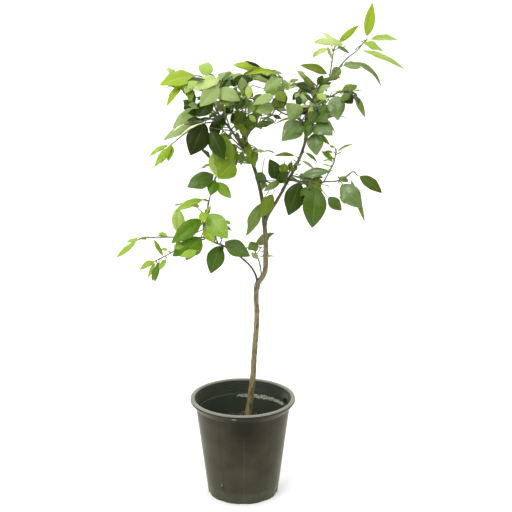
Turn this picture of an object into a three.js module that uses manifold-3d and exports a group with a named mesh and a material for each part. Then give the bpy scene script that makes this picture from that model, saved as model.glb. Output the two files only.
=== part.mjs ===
// A young lemon tree in a plain nursery pot.
// Millimetres, +Z up. The origin is the middle of the pot's flat underside, on the surface it stands on.
// The tree is seen from -Y, so +X is to the right and leaves with a negative Y are nearer the viewer.

import * as THREE from "three";
import { mergeVertices } from "three/addons/utils/BufferGeometryUtils.js";
import Module from "manifold-3d";

const wasm = await Module();
wasm.setup();

// Clearance between neighbouring solids.
const GAP = 0.3;

// The pot: a thin tapering tub with a rolled lip, a collar, a stacking ledge inside and a low foot.
const POT_HEIGHT = 260;
const RIM_RADIUS = 135;
const LIP_HEIGHT = 8;
const LIP_WIDTH = 11;
const LIP_ROUND = 2;
const COLLAR_DEPTH = 23;
const COLLAR_RADIUS = 122.5;
const COLLAR_STEP = 1.8;
const LEDGE_DEPTH = 37;
const LEDGE_RADIUS = 117;
const LEDGE_WIDTH = 1.8;
const LEDGE_DROP = 1.5;
const BASE_RADIUS = 90.8;
const BASE_BEVEL = 1.5;
const WALL_THICKNESS = 2.5;
const FLOOR_THICKNESS = 3.5;
const FOOT_HEIGHT = 28;
const FOOT_STEP = 0.6;
const FLOOR_RADIUS = BASE_RADIUS - FOOT_STEP - WALL_THICKNESS;
const POT_SEGMENTS = 32;
const POT_COLOR = 0x45463a;

// Drainage: holes in the floor, and shallow pockets round the foot.
const DRAIN_COUNT = 8;
const DRAIN_RADIUS = 7;
const DRAIN_CIRCLE = 0.65 * BASE_RADIUS;
const DRAIN_SIDES = 8;
const POCKET_COUNT = 10;
const POCKET_WIDTH = 20;
const POCKET_HEIGHT = 24;
const POCKET_DEPTH = 1.2;

// The potting mix stands well below the rim, flat in the middle and a little lower at the wall.
const SOIL_LEVEL = 177;
const SOIL_FLAT_RADIUS = 45;
const SOIL_SLOPE_RADIUS = 70;
const SOIL_EDGE_WIDTH = 12;
const SOIL_SAG = 4;
const SOIL_COLOR = 0x4a3a2a;

// The trunk: [x, y, z, radius], from just under the ground cut to the fork.
const TRUNK_SIDES = 8;
const TRUNK_CUT_SIZE = 60;
const WOOD_COLOR = 0x7d6c4c;
const TRUNK = [
  [7, 0, 165, 12.6],
  [9, 0, 178, 11.0],
  [12, 2, 200, 8.8],
  [19, 5, 251, 8.0],
  [24, 3, 292, 7.4],
  [27, -2, 333, 7.1],
  [30, -5, 387, 6.8],
  [34, -3, 438, 6.5],
  [36, 2, 489, 6.4],
  [34, 5, 521, 6.3],
  [35, 3, 548, 6.9],
  [40, -1, 568, 7.0],
  [50, -5, 584, 6.4],
  [57, -6, 603, 6.0],
  [58, -3, 639, 6.1],
  [58, 1, 678, 5.9],
  [54, 2, 727, 5.6],
];

// The boughs: each is one tapering limb, [x, y, z] points from its foot to its tip.
const BOUGH_SIDES = 6;
const BOUGHS = {
  left_leader: {
    points: [[54, 2, 724], [50, 6, 772], [44, 10, 804], [35, 15, 840], [22, 20, 877], [9, 20, 900],
      [-1, 18, 912]],
    foot: 4.8,
    tip: 3.9,
  },
  right_leader: {
    points: [[55, 1, 716], [62, -3, 740], [75, -10, 764], [93, -20, 798], [112, -30, 838], [131, -35, 875],
      [144, -42, 908], [156, -45, 948]],
    foot: 4.3,
    tip: 3.4,
  },
  low_left_bough: {
    points: [[38, 0, 566], [32, -10, 592], [19, -20, 617], [-6, -40, 647], [-40, -60, 677], [-71, -70, 693],
      [-93, -75, 706]],
    foot: 2.6,
    tip: 2.0,
  },
  low_left_riser: {
    points: [[-90, -74, 704], [-92, -78, 745], [-82, -70, 785], [-76, -62, 812], [-68, -55, 838]],
    foot: 1.7,
    tip: 1.4,
  },
  upper_left_bough: {
    points: [[-1, 18, 912], [-15, 2, 938], [-30, -18, 965], [-48, -38, 991], [-62, -48, 1016]],
    foot: 3.4,
    tip: 2.2,
  },
  upper_middle_bough: {
    points: [[4, 20, 906], [6, 36, 937], [8, 50, 970], [9, 58, 1006]],
    foot: 2.6,
    tip: 1.8,
  },
  middle_right_bough: {
    points: [[5, 28, 925], [19, 58, 941], [36, 88, 951], [56, 112, 961], [74, 128, 969]],
    foot: 2.8,
    tip: 1.8,
  },
  top_right_bough: {
    points: [[155, -45, 946], [153, -32, 985], [163, -10, 1014], [180, 10, 1045], [195, 20, 1059],
      [210, 29, 1075]],
    foot: 3.1,
    tip: 1.8,
  },
  cluster_bough: {
    points: [[160, -15, 1005], [173, -38, 1028], [191, -58, 1042], [215, -78, 1055]],
    foot: 2.2,
    tip: 1.6,
  },
  centre_bough: {
    points: [[153, -38, 965], [140, -52, 990], [120, -70, 1003], [98, -85, 1014], [75, -99, 1030],
      [56, -108, 1043]],
    foot: 2.3,
    tip: 1.6,
  },
  right_low_bough: {
    points: [[113, -31, 839], [140, -58, 842], [171, -85, 844], [201, -105, 852], [226, -120, 857]],
    foot: 2.5,
    tip: 1.6,
  },
  back_left_bough: {
    points: [[37, 14, 834], [24, 60, 870], [4, 112, 915], [-18, 150, 958]],
    foot: 2.7,
    tip: 1.7,
  },
  back_right_bough: {
    points: [[124, -33, 862], [148, 20, 898], [158, 78, 942], [168, 128, 985]],
    foot: 2.6,
    tip: 1.7,
  },
};

// Limbs have this many rings for each length between two points of their path.
const LIMB_RINGS = 2;
const STEM_RINGS = 1.5;
const STEEP = 0.9;

// Twigs and leaves are three-sided here. A leaf is an arched blade on a stalk, flat above and keeled below.
const TWIG_SIDES = 3;
const TWIG_FOOT = 2.0;
const TWIG_TIP = 1.5;
const SIDE_TWIG_TIP = 1.2;
const LAST_ROOT = 0.97;
const LEAF_SIDES = 3;
const LEAF_THICKNESS_SHARE = 1 / 90;
const LEAF_LEAST_THICKNESS = 0.7;
const LEAF_ARCH = 0.1;
const LEAF_COLOR = 0x6f9a2f;
const STALK_HALF_WIDTH = 0.55;
const STALK_THICKNESS = 0.9;
const CROWN_MIDDLE_X = 45;
const GOLDEN_ANGLE = THREE.MathUtils.degToRad(137.5);

// Stations along a leaf: [share of its length, share of its half width]. A short one needs fewer.
const LONG_STATIONS = [[0, 0], [0.12, 0], [0.36, 0.9], [0.66, 0.82], [1, 0]];
const SHORT_STATIONS = [[0, 0], [0.5, 1], [1, 0]];
const SHORT_BELOW = 60;

// Ways that a leaf's upper face can look.
const FACING = {
  up: [0, -0.25, 1],
  slant: [0, -0.8, 0.7],
  front: [0, -1, 0.3],
  back: [0, 0.9, 0.6],
};

// The masses of foliage. Each has a stem that starts at a bough, the leaves that mark the mass's outline as
// [place along the stem, tip x, tip y, tip z, width, facing], and the growth that follows a rule.
const MASSES = {
  left_crest: {
    stem: [[-62, -48, 1016], [-78, -60, 1062], [-90, -66, 1094], [-110, -72, 1101], [-126, -78, 1095],
      [-135, -82, 1081]],
    leaves: [
      [0.5, -192, -118, 1086, 44, "slant"],
      [0.95, -172, -104, 1083, 30, "slant"],
      [1.0, -176, -108, 1034, 22, "slant"],
      [0.42, -80, -36, 1128, 36, "front"],
      [0.62, -132, -112, 1066, 30, "front"],
    ],
    grow: { count: 3, length: 46, seed: 11 },
  },
  left_front: {
    stem: [[-28, -16, 962], [-42, -72, 1018], [-46, -112, 1062], [-50, -132, 1096]],
    leaves: [
      [0.95, -96, -168, 1045, 40, "front"],
      [0.62, -6, -142, 1055, 34, "slant"],
    ],
    grow: { count: 6, length: 52, seed: 23 },
  },
  left_dark: {
    stem: [[-56, -44, 1004], [-76, -22, 1012], [-104, 0, 1016], [-124, 14, 1020]],
    leaves: [
      [0.8, -142, 2, 1008, 34, "front"],
      [0.5, -168, -40, 968, 36, "slant"],
    ],
    grow: { count: 5, length: 56, seed: 13 },
  },
  left_low: {
    stem: [[-46, -36, 988], [-64, -60, 996], [-84, -78, 996], [-98, -90, 991]],
    leaves: [
      [0.85, -163, -112, 975, 38, "slant"],
      [0.6, -187, -124, 955, 28, "slant"],
      [0.45, -120, -146, 916, 56, "front"],
    ],
    grow: { count: 2, length: 50, seed: 41 },
  },
  left_sprig: {
    stem: [[-38, -26, 977], [-80, -36, 982], [-112, -46, 972], [-140, -54, 956], [-160, -62, 941],
      [-171, -68, 933]],
    leaves: [
      [1.0, -226, -76, 903, 16, "slant"],
      [0.97, -210, -92, 884, 20, "front"],
      [0.9, -194, -98, 892, 16, "front"],
      [0.93, -176, -88, 898, 24, "front"],
    ],
    grow: { count: 1, length: 26, seed: 53 },
  },
  left_hanging: {
    stem: [[-22, -8, 952], [-34, -40, 964], [-46, -66, 970]],
    leaves: [
      [0.9, -66, -104, 890, 48, "front"],
      [1.0, -40, -120, 856, 58, "front"],
    ],
    grow: { count: 1, length: 52, seed: 61 },
  },
  left_twig: {
    stem: [[26, 19, 868], [-12, 4, 876], [-32, -16, 888]],
    leaves: [[1.0, -58, -52, 850, 36, "front"]],
    grow: { count: 2, length: 34, seed: 71 },
  },
  leader_leaves: {
    stem: [[18, 20, 886], [16, 2, 916], [10, -14, 944]],
    leaves: [
      [0.9, -8, -26, 980, 18, "front"],
      [0.5, 32, -24, 868, 22, "front"],
    ],
    grow: { count: 3, length: 44, seed: 9 },
  },
  top_middle: {
    stem: [[9, 58, 1006], [9, 60, 1032], [4, 58, 1054], [-6, 55, 1068]],
    leaves: [
      [0.9, -38, 44, 1072, 30, "slant"],
      [0.6, 10, 26, 1024, 22, "front"],
      [1.0, -62, 84, 1078, 26, "slant"],
    ],
    grow: { count: 6, length: 52, seed: 29 },
  },
  middle_dark: {
    stem: [[6, 40, 948], [-6, 20, 974], [-12, 2, 1000], [-16, -18, 1020]],
    leaves: [
      [0.5, -28, -22, 978, 28, "front"],
      [0.4, 22, -12, 958, 28, "front"],
    ],
    grow: { count: 5, length: 54, seed: 3 },
  },
  top_bright: {
    stem: [[74, 128, 969], [94, 122, 1010], [104, 112, 1046], [90, 105, 1074], [52, 100, 1090]],
    leaves: [
      [1.0, -24, 94, 1101, 28, "slant"],
      [0.82, 6, 84, 1074, 28, "slant"],
      [0.7, 26, 90, 1064, 30, "slant"],
      [0.6, 116, 90, 1038, 26, "slant"],
      [0.55, 56, 72, 1034, 32, "front"],
    ],
    grow: { count: 5, length: 56, seed: 37 },
  },
  centre_twig: {
    stem: [[86, -92, 1022], [82, -106, 1046], [80, -116, 1066]],
    leaves: [
      [0.9, 26, -140, 1044, 26, "slant"],
      [0.8, 100, -142, 1038, 42, "front"],
      [0.3, 32, -134, 1026, 30, "front"],
    ],
    grow: { count: 2, length: 44, seed: 127 },
  },
  centre_end: {
    stem: [[56, -108, 1043], [36, -116, 1054], [14, -120, 1056], [4, -124, 1064]],
    leaves: [[0.9, -12, -146, 1030, 30, "slant"]],
    grow: { count: 5, length: 46, seed: 131 },
  },
  right_knot: {
    stem: [[151, -42, 975], [146, -60, 990], [136, -72, 1000]],
    leaves: [
      [1.0, 104, -104, 1042, 44, "front"],
      [0.6, 94, -118, 953, 50, "front"],
      [0.9, 76, -82, 985, 13, "up"],
    ],
    grow: { count: 3, length: 44, seed: 149 },
  },
  cluster_low: {
    stem: [[154, -30, 988], [164, -52, 990], [170, -74, 980], [171, -88, 970]],
    leaves: [
      [1.0, 177, -118, 918, 40, "front"],
      [0.6, 216, -126, 975, 38, "front"],
      [0.9, 210, -102, 940, 13, "front"],
    ],
    grow: { count: 4, length: 46, seed: 10 },
  },
  cluster_middle: {
    stem: [[172, -36, 1027], [179, -60, 1020], [186, -76, 1014]],
    leaves: [
      [0.8, 158, -108, 998, 32, "front"],
      [1.0, 200, -118, 998, 36, "front"],
    ],
    grow: { count: 6, length: 46, seed: 4 },
  },
  cluster_tip: {
    stem: [[215, -78, 1055], [231, -86, 1065], [250, -92, 1070], [265, -97, 1064]],
    leaves: [
      [0.1, 226, -118, 1002, 42, "front"],
      [0.5, 260, -118, 1042, 28, "front"],
      [1.0, 290, -122, 1010, 20, "front"],
      [0.9, 282, -98, 1070, 9, "up"],
    ],
    grow: { count: 4, length: 40, seed: 11 },
  },
  cluster_high: {
    stem: [[181, 11, 1046], [166, -14, 1051], [146, -34, 1064], [135, -44, 1070]],
    leaves: [
      [0.2, 128, -58, 1076, 32, "slant"],
      [0.6, 136, -78, 1032, 36, "front"],
      [1.0, 114, -50, 1068, 10, "up"],
      [0.05, 136, 8, 1100, 16, "slant"],
    ],
    grow: { count: 4, length: 46, seed: 57 },
  },
  long_shoot: {
    stem: [[210, 29, 1075], [234, 40, 1101], [256, 50, 1124], [280, 60, 1141], [296, 66, 1159],
      [304, 70, 1166]],
    leaves: [
      [1.0, 316, 72, 1256, 30, "front"],
      [0.97, 386, 86, 1161, 20, "slant"],
      [0.92, 348, 56, 1143, 22, "slant"],
      [0.8, 400, 44, 1095, 16, "slant"],
      [0.45, 346, 28, 1053, 18, "slant"],
      [0.25, 292, 66, 1098, 24, "slant"],
      [0.3, 216, 8, 1078, 28, "front"],
    ],
    grow: { count: 2, length: 36, seed: 14 },
  },
  pale_shoot: {
    stem: [[212, 32, 1073], [219, 70, 1105], [226, 110, 1135], [234, 130, 1147]],
    leaves: [
      [0.1, 140, 24, 1111, 22, "slant"],
      [0.7, 174, 136, 1112, 26, "front"],
      [1.0, 178, 154, 1147, 34, "front"],
      [1.0, 200, 164, 1172, 22, "front"],
      [1.0, 290, 122, 1196, 24, "front"],
      [0.95, 266, 106, 1127, 18, "front"],
    ],
    grow: { count: 2, length: 36, seed: 14 },
  },
  inner_right: {
    stem: [[47, 9, 798], [54, -10, 828], [74, -30, 832], [100, -50, 842]],
    leaves: [
      [0.6, 10, -74, 704, 34, "front"],
      [0.9, 66, -66, 899, 36, "front"],
      [0.35, 34, -22, 845, 24, "slant"],
      [0.8, 112, -82, 872, 26, "front"],
      [1.0, 52, -64, 818, 24, "front"],
      [0.5, 30, -44, 858, 24, "slant"],
    ],
    grow: { count: 2, length: 40, seed: 16 },
  },
  bough_shoot: {
    stem: [[104, -26, 822], [112, -44, 856], [126, -56, 882], [138, -62, 898]],
    leaves: [
      [0.95, 82, -62, 884, 13, "up"],
      [0.8, 36, -50, 882, 10, "up"],
      [0.9, 183, -76, 846, 10, "up"],
      [1.0, 188, -78, 862, 10, "up"],
    ],
    grow: { count: 2, length: 30, seed: 19 },
  },
  low_pair: {
    stem: [[143, -60, 842], [154, -82, 851], [170, -106, 851]],
    leaves: [
      [0.2, 110, -108, 768, 46, "front"],
      [1.0, 166, -152, 748, 56, "front"],
      [0.3, 140, -84, 868, 20, "slant"],
      [1.0, 215, -124, 874, 24, "slant"],
      [0.6, 192, -106, 828, 26, "front"],
    ],
    grow: { count: 3, length: 40, seed: 5 },
  },
  right_end: {
    stem: [[226, -120, 857], [244, -130, 868], [262, -138, 884], [272, -142, 877]],
    leaves: [
      [0.15, 282, -168, 798, 50, "front"],
      [1.0, 330, -162, 838, 30, "slant"],
      [0.05, 240, -146, 783, 32, "front"],
      [0.5, 292, -150, 764, 14, "front"],
    ],
    grow: { count: 2, length: 34, seed: 44 },
  },
  right_riser: {
    stem: [[196, -101, 851], [208, -98, 874], [220, -94, 898], [225, -90, 926]],
    leaves: [
      [0.9, 266, -92, 941, 11, "up"],
      [0.7, 190, -84, 922, 14, "slant"],
      [0.5, 192, -98, 893, 9, "up"],
    ],
    grow: { count: 3, length: 26, seed: 15 },
  },
  riser_tip: {
    stem: [[-68, -55, 838], [-62, -50, 856], [-56, -44, 874]],
    leaves: [
      [0.6, -132, -80, 832, 46, "slant"],
      [0.3, -76, -84, 812, 28, "front"],
      [0.15, -26, -60, 800, 28, "front"],
    ],
    grow: { count: 3, length: 46, seed: 239 },
  },
  riser_side: {
    stem: [[-80, -67, 795], [-98, -76, 800], [-128, -84, 796], [-160, -86, 790]],
    leaves: [
      [0.3, -162, -92, 772, 22, "slant"],
      [1.0, -152, -98, 718, 34, "front"],
    ],
    grow: { count: 1, length: 36, seed: 4 },
  },
  low_middle: {
    stem: [[-84, -72, 700], [-93, -94, 730], [-92, -106, 756], [-86, -110, 782]],
    leaves: [
      [0.8, -168, -150, 712, 40, "front"],
      [1.0, -26, -154, 716, 46, "front"],
      [0.45, -66, -136, 708, 24, "front"],
    ],
    grow: { count: 3, length: 50, seed: 7 },
  },
  low_left_spray: {
    stem: [[-93, -75, 706], [-130, -86, 707], [-166, -92, 711], [-226, -96, 711], [-252, -96, 706]],
    leaves: [
      [1.0, -306, -96, 660, 16, "front"],
      [0.95, -281, -96, 700, 11, "slant"],
      [0.7, -190, -102, 664, 14, "front"],
      [0.55, -204, -76, 716, 12, "slant"],
    ],
    grow: { count: 3, length: 30, seed: 17 },
  },
  low_left_drop: {
    stem: [[-91, -73, 701], [-124, -70, 691], [-158, -70, 674], [-194, -74, 655], [-214, -79, 646]],
    leaves: [
      [1.0, -252, -80, 624, 16, "slant"],
      [0.95, -231, -86, 604, 12, "front"],
      [0.85, -214, -84, 594, 20, "front"],
      [0.35, -168, -104, 666, 30, "front"],
      [0.2, -124, -98, 642, 44, "front"],
    ],
    grow: { count: 2, length: 40, seed: 15 },
  },
  low_right: {
    stem: [[-50, -62, 682], [-52, -84, 694], [-50, -96, 704]],
    leaves: [
      [1.0, 20, -112, 668, 44, "slant"],
      [0.6, -76, -124, 628, 44, "front"],
    ],
    grow: { count: 2, length: 40, seed: 269 },
  },
  low_back: {
    stem: [[48, -2, 580], [44, 22, 606], [36, 40, 626], [24, 52, 650]],
    leaves: [
      [0.9, 82, 74, 676, 26, "back"],
      [0.6, 84, 62, 616, 11, "up"],
    ],
    grow: { count: 4, length: 36, seed: 36 },
  },
  back_left: {
    stem: [[-18, 150, 958], [-40, 178, 988], [-68, 196, 1012]],
    leaves: [],
    grow: { count: 8, length: 60, seed: 8 },
  },
  back_middle: {
    stem: [[6, 108, 912], [30, 150, 940], [52, 184, 975]],
    leaves: [],
    grow: { count: 7, length: 56, seed: 32 },
  },
  back_low: {
    stem: [[26, 54, 866], [8, 96, 868], [-16, 134, 862], [-30, 160, 856]],
    leaves: [],
    grow: { count: 5, length: 54, seed: 20 },
  },
  back_right: {
    stem: [[168, 128, 985], [182, 158, 1012], [190, 182, 1040]],
    leaves: [],
    grow: { count: 8, length: 58, seed: 24 },
  },
  back_right_low: {
    stem: [[157, 72, 938], [180, 104, 958], [206, 128, 982]],
    leaves: [],
    grow: { count: 6, length: 52, seed: 50 },
  },
  low_left_back: {
    stem: [[-60, -67, 689], [-72, -22, 712], [-84, 26, 734]],
    leaves: [],
    grow: { count: 5, length: 50, seed: 36 },
  },
  crown_back: {
    stem: [[8, 50, 970], [-14, 74, 992], [-40, 92, 1016], [-66, 104, 1040]],
    leaves: [],
    grow: { count: 8, length: 50, seed: 6 },
  },
  leader_back: {
    stem: [[24, 20, 872], [2, 52, 896], [-26, 84, 918], [-52, 112, 934]],
    leaves: [],
    grow: { count: 7, length: 50, seed: 12 },
  },
  cluster_back: {
    stem: [[154, 50, 920], [172, 44, 958], [186, 56, 994], [192, 78, 1026]],
    leaves: [],
    grow: { count: 8, length: 48, seed: 18 },
  },
  pair_back: {
    stem: [[124, -42, 840], [140, -4, 826], [156, 36, 812], [170, 74, 800]],
    leaves: [],
    grow: { count: 7, length: 50, seed: 26 },
  },
};

// The rule of growth: leaves spread from the stem at even places, and each third one is a side twig instead,
// with two leaves as [place along the twig, spread].
const GROW_FROM = 0.2;
const GROW_SPREAD = THREE.MathUtils.degToRad(58);
const GROW_DROOP = 0.3;
const GROW_WIDTH = 0.46;
const GROW_TURN_JITTER = 0.6;
const GROW_LENGTH_JITTER = 0.3;
const GROW_LIGHT = 0.7;
const TWIG_EVERY = 3;
const TWIG_LENGTH_SHARE = 0.75;
const TWIG_LEAF_SHARE = 0.9;
const TWIG_LEAVES = [[0.6, GROW_SPREAD], [LAST_ROOT, 0.1 * GROW_SPREAD]];

// A repeatable number from 0 to 1 for one leaf and one use.
function chance(seed, index, use) {
  let mixed = (Math.imul(seed, 374761393) + Math.imul(index, 668265263) + Math.imul(use, 974634777)) | 0;
  mixed = Math.imul(mixed ^ (mixed >>> 13), 1274126177);
  mixed ^= mixed >>> 16;
  return (mixed >>> 0) / 4294967296;
}

function vector(values) {
  return new THREE.Vector3(values[0], values[1], values[2]);
}

function pathOf(points) {
  return new THREE.CatmullRomCurve3(points.map(vector), false, "catmullrom", 0.5);
}

// A closed solid from a closed mesh.
function solidOf(geometry) {
  const bare = geometry.clone();
  bare.deleteAttribute("normal");
  bare.deleteAttribute("uv");
  const merged = mergeVertices(bare, 1e-4);
  return new wasm.Manifold(new wasm.Mesh({
    numProp: 3,
    vertProperties: new Float32Array(merged.attributes.position.array),
    triVerts: new Uint32Array(merged.index.array),
  }));
}

function geometryOf(solid) {
  const mesh = solid.getMesh();
  const geometry = new THREE.BufferGeometry();
  geometry.setAttribute("position", new THREE.BufferAttribute(new Float32Array(mesh.vertProperties), 3));
  geometry.setIndex(new THREE.BufferAttribute(new Uint32Array(mesh.triVerts), 1));
  geometry.computeVertexNormals();
  return geometry;
}

// The largest body of a solid, without the scraps that a cut can leave.
function largestBody(solid) {
  return solid.decompose().reduce((best, body) => (body.volume() > best.volume() ? body : best));
}

// A closed cylinder, or cone, whose rings are moved to the sections given, from its foot to its tip.
function bentSolid(sides, sections, pointed) {
  const steps = sections.length - 1;
  const geometry = new THREE.CylinderGeometry(pointed ? 0 : 1, 1, 1, sides, steps, false, Math.PI);
  const places = geometry.attributes.position;
  for (let i = 0; i < places.count; i += 1) {
    const section = sections[Math.round((places.getY(i) + 0.5) * steps)];
    const reach = Math.hypot(places.getX(i), places.getZ(i)) || 1;
    const place = section.centre.clone();
    place.addScaledVector(section.across, (section.halfWidth * places.getX(i)) / reach);
    place.addScaledVector(section.up, (section.halfHeight * places.getZ(i)) / reach);
    places.setXYZ(i, place.x, place.y, place.z);
  }
  return solidOf(geometry);
}

// A round tapering limb along a smooth path. grown makes it that much larger, to cut a neighbour clear.
function limbSolid(points, radiusAt, sides, steps, grown = 0) {
  const path = pathOf(points);
  const across = new THREE.Vector3();
  const sections = [];
  for (let i = 0; i <= steps; i += 1) {
    const t = i / steps;
    const along = path.getTangent(t);
    if (i === 0) {
      across.copy(sideOf(along, 0));
    } else {
      across.addScaledVector(along, -across.dot(along)).normalize();
    }
    const centre = path.getPoint(t);
    if (i === 0 || i === steps) {
      centre.addScaledVector(along, i === 0 ? -grown : grown);
    }
    const radius = radiusAt(t) + grown / Math.cos(Math.PI / sides);
    sections.push({
      centre,
      across: across.clone(),
      up: new THREE.Vector3().crossVectors(across, along),
      halfWidth: radius,
      halfHeight: radius,
    });
  }
  return bentSolid(sides, sections, false);
}

// A leaf from its root inside the twig to its tip, with its upper face turned the way that facing says.
// Its section is a flat triangle, level above and keeled along the midrib below.
function leafSolid({ root, tip, width, facing }, grown = 0) {
  const whole = new THREE.Vector3().subVectors(tip, root);
  const length = whole.length();
  const along = whole.clone().normalize();
  const up = facing.clone().addScaledVector(along, -facing.dot(along)).normalize();
  const across = new THREE.Vector3().crossVectors(along, up);
  const stations = length < SHORT_BELOW ? SHORT_STATIONS : LONG_STATIONS;
  const bladeThickness = Math.max(LEAF_LEAST_THICKNESS, length * LEAF_THICKNESS_SHARE);
  const sections = stations.map(([share, spread], i) => {
    const last = i === stations.length - 1;
    const centre = root.clone().addScaledVector(whole, last ? 1 + grown / length : share);
    centre.addScaledVector(up, LEAF_ARCH * length * 4 * share * (1 - share));
    const halfWidth = THREE.MathUtils.lerp(STALK_HALF_WIDTH, width / 2, spread) + grown;
    const thickness = (spread > 0 ? bladeThickness : STALK_THICKNESS) + 3 * grown;
    return {
      centre,
      across,
      up,
      halfWidth: halfWidth / Math.sin(Math.PI / LEAF_SIDES),
      halfHeight: thickness / (1 + Math.cos(Math.PI / LEAF_SIDES)),
    };
  });
  return bentSolid(LEAF_SIDES, sections, true);
}

// The side of a path at an angle round it, square to its direction.
function sideOf(along, turn) {
  const aside = Math.abs(along.z) > STEEP ? new THREE.Vector3(1, 0, 0) : new THREE.Vector3(0, 0, 1);
  const first = new THREE.Vector3().crossVectors(aside, along).normalize();
  const second = new THREE.Vector3().crossVectors(along, first);
  return first.multiplyScalar(Math.cos(turn)).addScaledVector(second, Math.sin(turn));
}

// The direction in which something leaves a path, spread away from it on one side.
function leaving(along, turn, spread) {
  const ahead = along.clone().multiplyScalar(Math.cos(spread));
  return ahead.addScaledVector(sideOf(along, turn), Math.sin(spread));
}

// A leaf that hangs a little from the direction in which it leaves, and looks up and out of the crown.
function grownLeaf(root, direction, length) {
  const hanging = direction.clone().addScaledVector(new THREE.Vector3(0, 0, 1), -GROW_DROOP).normalize();
  const tip = root.clone().addScaledVector(hanging, length);
  const outward = new THREE.Vector3(tip.x - CROWN_MIDDLE_X, tip.y, 0).normalize();
  const facing = outward.multiplyScalar(GROW_LIGHT).add(new THREE.Vector3(0, 0, 1));
  return { root, tip, width: length * GROW_WIDTH, facing };
}

function stemRings(stem) {
  return Math.round(STEM_RINGS * (stem.length - 1));
}

// A place in the middle of a stem's solid, which runs straight from ring to ring.
function stemPoint(stem, t) {
  const path = pathOf(stem);
  const rings = stemRings(stem);
  const ring = Math.min(Math.floor(t * rings), rings - 1);
  return path.getPoint(ring / rings).lerp(path.getPoint((ring + 1) / rings), t * rings - ring);
}

// The side twigs and leaves that grow on a stem by rule.
function growth(stem, { count, length, seed }) {
  const path = pathOf(stem);
  const twigs = [];
  const leaves = [];
  for (let i = 0; i < count; i += 1) {
    const t = GROW_FROM + ((1 - GROW_FROM) * (i + 0.5)) / count;
    const along = path.getTangent(t);
    const root = stemPoint(stem, t);
    const turn = seed + i * GOLDEN_ANGLE + GROW_TURN_JITTER * (chance(seed, i, 1) - 0.5);
    const size = length * (1 + GROW_LENGTH_JITTER * (chance(seed, i, 2) - 0.5));
    const direction = leaving(along, turn, GROW_SPREAD);
    if (i % TWIG_EVERY !== TWIG_EVERY - 1) {
      leaves.push(grownLeaf(root, direction, size));
    } else {
      const end = root.clone().addScaledVector(direction, size * TWIG_LENGTH_SHARE);
      const twig = { root, end, leaves: [] };
      TWIG_LEAVES.forEach(([at, spread], j) => {
        const start = root.clone().lerp(end, at);
        const side = leaving(direction, turn + j * GOLDEN_ANGLE, spread);
        twig.leaves.push(grownLeaf(start, side, size * TWIG_LEAF_SHARE));
      });
      twigs.push(twig);
    }
  }
  return { twigs, leaves };
}

// Every solid made so far, by the node that it belongs to.
const placed = [];

function place(node, solid) {
  const box = solid.boundingBox();
  placed.push({ node, solid, box });
}

function boxesMeet(a, b) {
  return [0, 1, 2].every((k) => a.min[k] <= b.max[k] && b.min[k] <= a.max[k]);
}

// Whether a solid is clear of every other node.
function isClear(node, solid) {
  const box = solid.boundingBox();
  return placed.every((other) => (
    other.node === node || !boxesMeet(box, other.box) || solid.intersect(other.solid).isEmpty()
  ));
}

// The pot is turned from one closed outline, [radius, height], then its holes and pockets are cut.
function potSolid() {
  const wallTop = POT_HEIGHT - COLLAR_DEPTH;
  const wallTopRadius = COLLAR_RADIUS - COLLAR_STEP;
  const footTopRadius = THREE.MathUtils.lerp(BASE_RADIUS, wallTopRadius, FOOT_HEIGHT / wallTop);
  const lipFoot = POT_HEIGHT - LIP_HEIGHT;
  const lipInside = RIM_RADIUS - LIP_WIDTH;
  const ledge = POT_HEIGHT - LEDGE_DEPTH;
  const outline = [
    [0, 0],
    [BASE_RADIUS - FOOT_STEP - BASE_BEVEL, 0],
    [BASE_RADIUS - FOOT_STEP, BASE_BEVEL],
    [footTopRadius - FOOT_STEP, FOOT_HEIGHT],
    [footTopRadius, FOOT_HEIGHT + FOOT_STEP],
    [wallTopRadius, wallTop],
    [COLLAR_RADIUS + 1, wallTop + COLLAR_STEP],
    [RIM_RADIUS - LIP_ROUND, lipFoot - 1],
    [RIM_RADIUS, lipFoot + LIP_ROUND],
    [RIM_RADIUS - 1, POT_HEIGHT - LIP_ROUND],
    [RIM_RADIUS - 2 * LIP_ROUND, POT_HEIGHT],
    [lipInside + LIP_ROUND, POT_HEIGHT],
    [lipInside, POT_HEIGHT - LIP_ROUND],
    [LEDGE_RADIUS, ledge],
    [LEDGE_RADIUS - LEDGE_WIDTH, ledge - LEDGE_DROP],
    [FLOOR_RADIUS, FLOOR_THICKNESS],
    [0, FLOOR_THICKNESS],
  ].map(([radius, height]) => new THREE.Vector2(radius, height));
  let pot = solidOf(new THREE.LatheGeometry(outline, POT_SEGMENTS).rotateX(Math.PI / 2));
  for (let i = 0; i < DRAIN_COUNT; i += 1) {
    const angle = (2 * Math.PI * i) / DRAIN_COUNT;
    const hole = new THREE.CylinderGeometry(DRAIN_RADIUS, DRAIN_RADIUS, 4 * FLOOR_THICKNESS, DRAIN_SIDES);
    hole.rotateX(Math.PI / 2).translate(DRAIN_CIRCLE * Math.cos(angle), DRAIN_CIRCLE * Math.sin(angle), 0);
    pot = pot.subtract(solidOf(hole));
  }
  const wallSlope = Math.atan2(wallTopRadius - BASE_RADIUS, wallTop);
  for (let i = 0; i < POCKET_COUNT; i += 1) {
    const pocket = new THREE.BoxGeometry(2 * POCKET_DEPTH, POCKET_WIDTH, 2 * POCKET_HEIGHT);
    pocket.rotateY(wallSlope).translate(BASE_RADIUS - FOOT_STEP, 0, 0);
    pocket.rotateZ((2 * Math.PI * (i + 0.5)) / POCKET_COUNT);
    pot = pot.subtract(solidOf(pocket));
  }
  return pot;
}

// The pot's inner wall runs straight from the floor to the ledge.
function innerRadius(height) {
  const top = POT_HEIGHT - LEDGE_DEPTH - LEDGE_DROP;
  const share = (height - FLOOR_THICKNESS) / (top - FLOOR_THICKNESS);
  return THREE.MathUtils.lerp(FLOOR_RADIUS, LEDGE_RADIUS - LEDGE_WIDTH, share);
}

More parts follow.
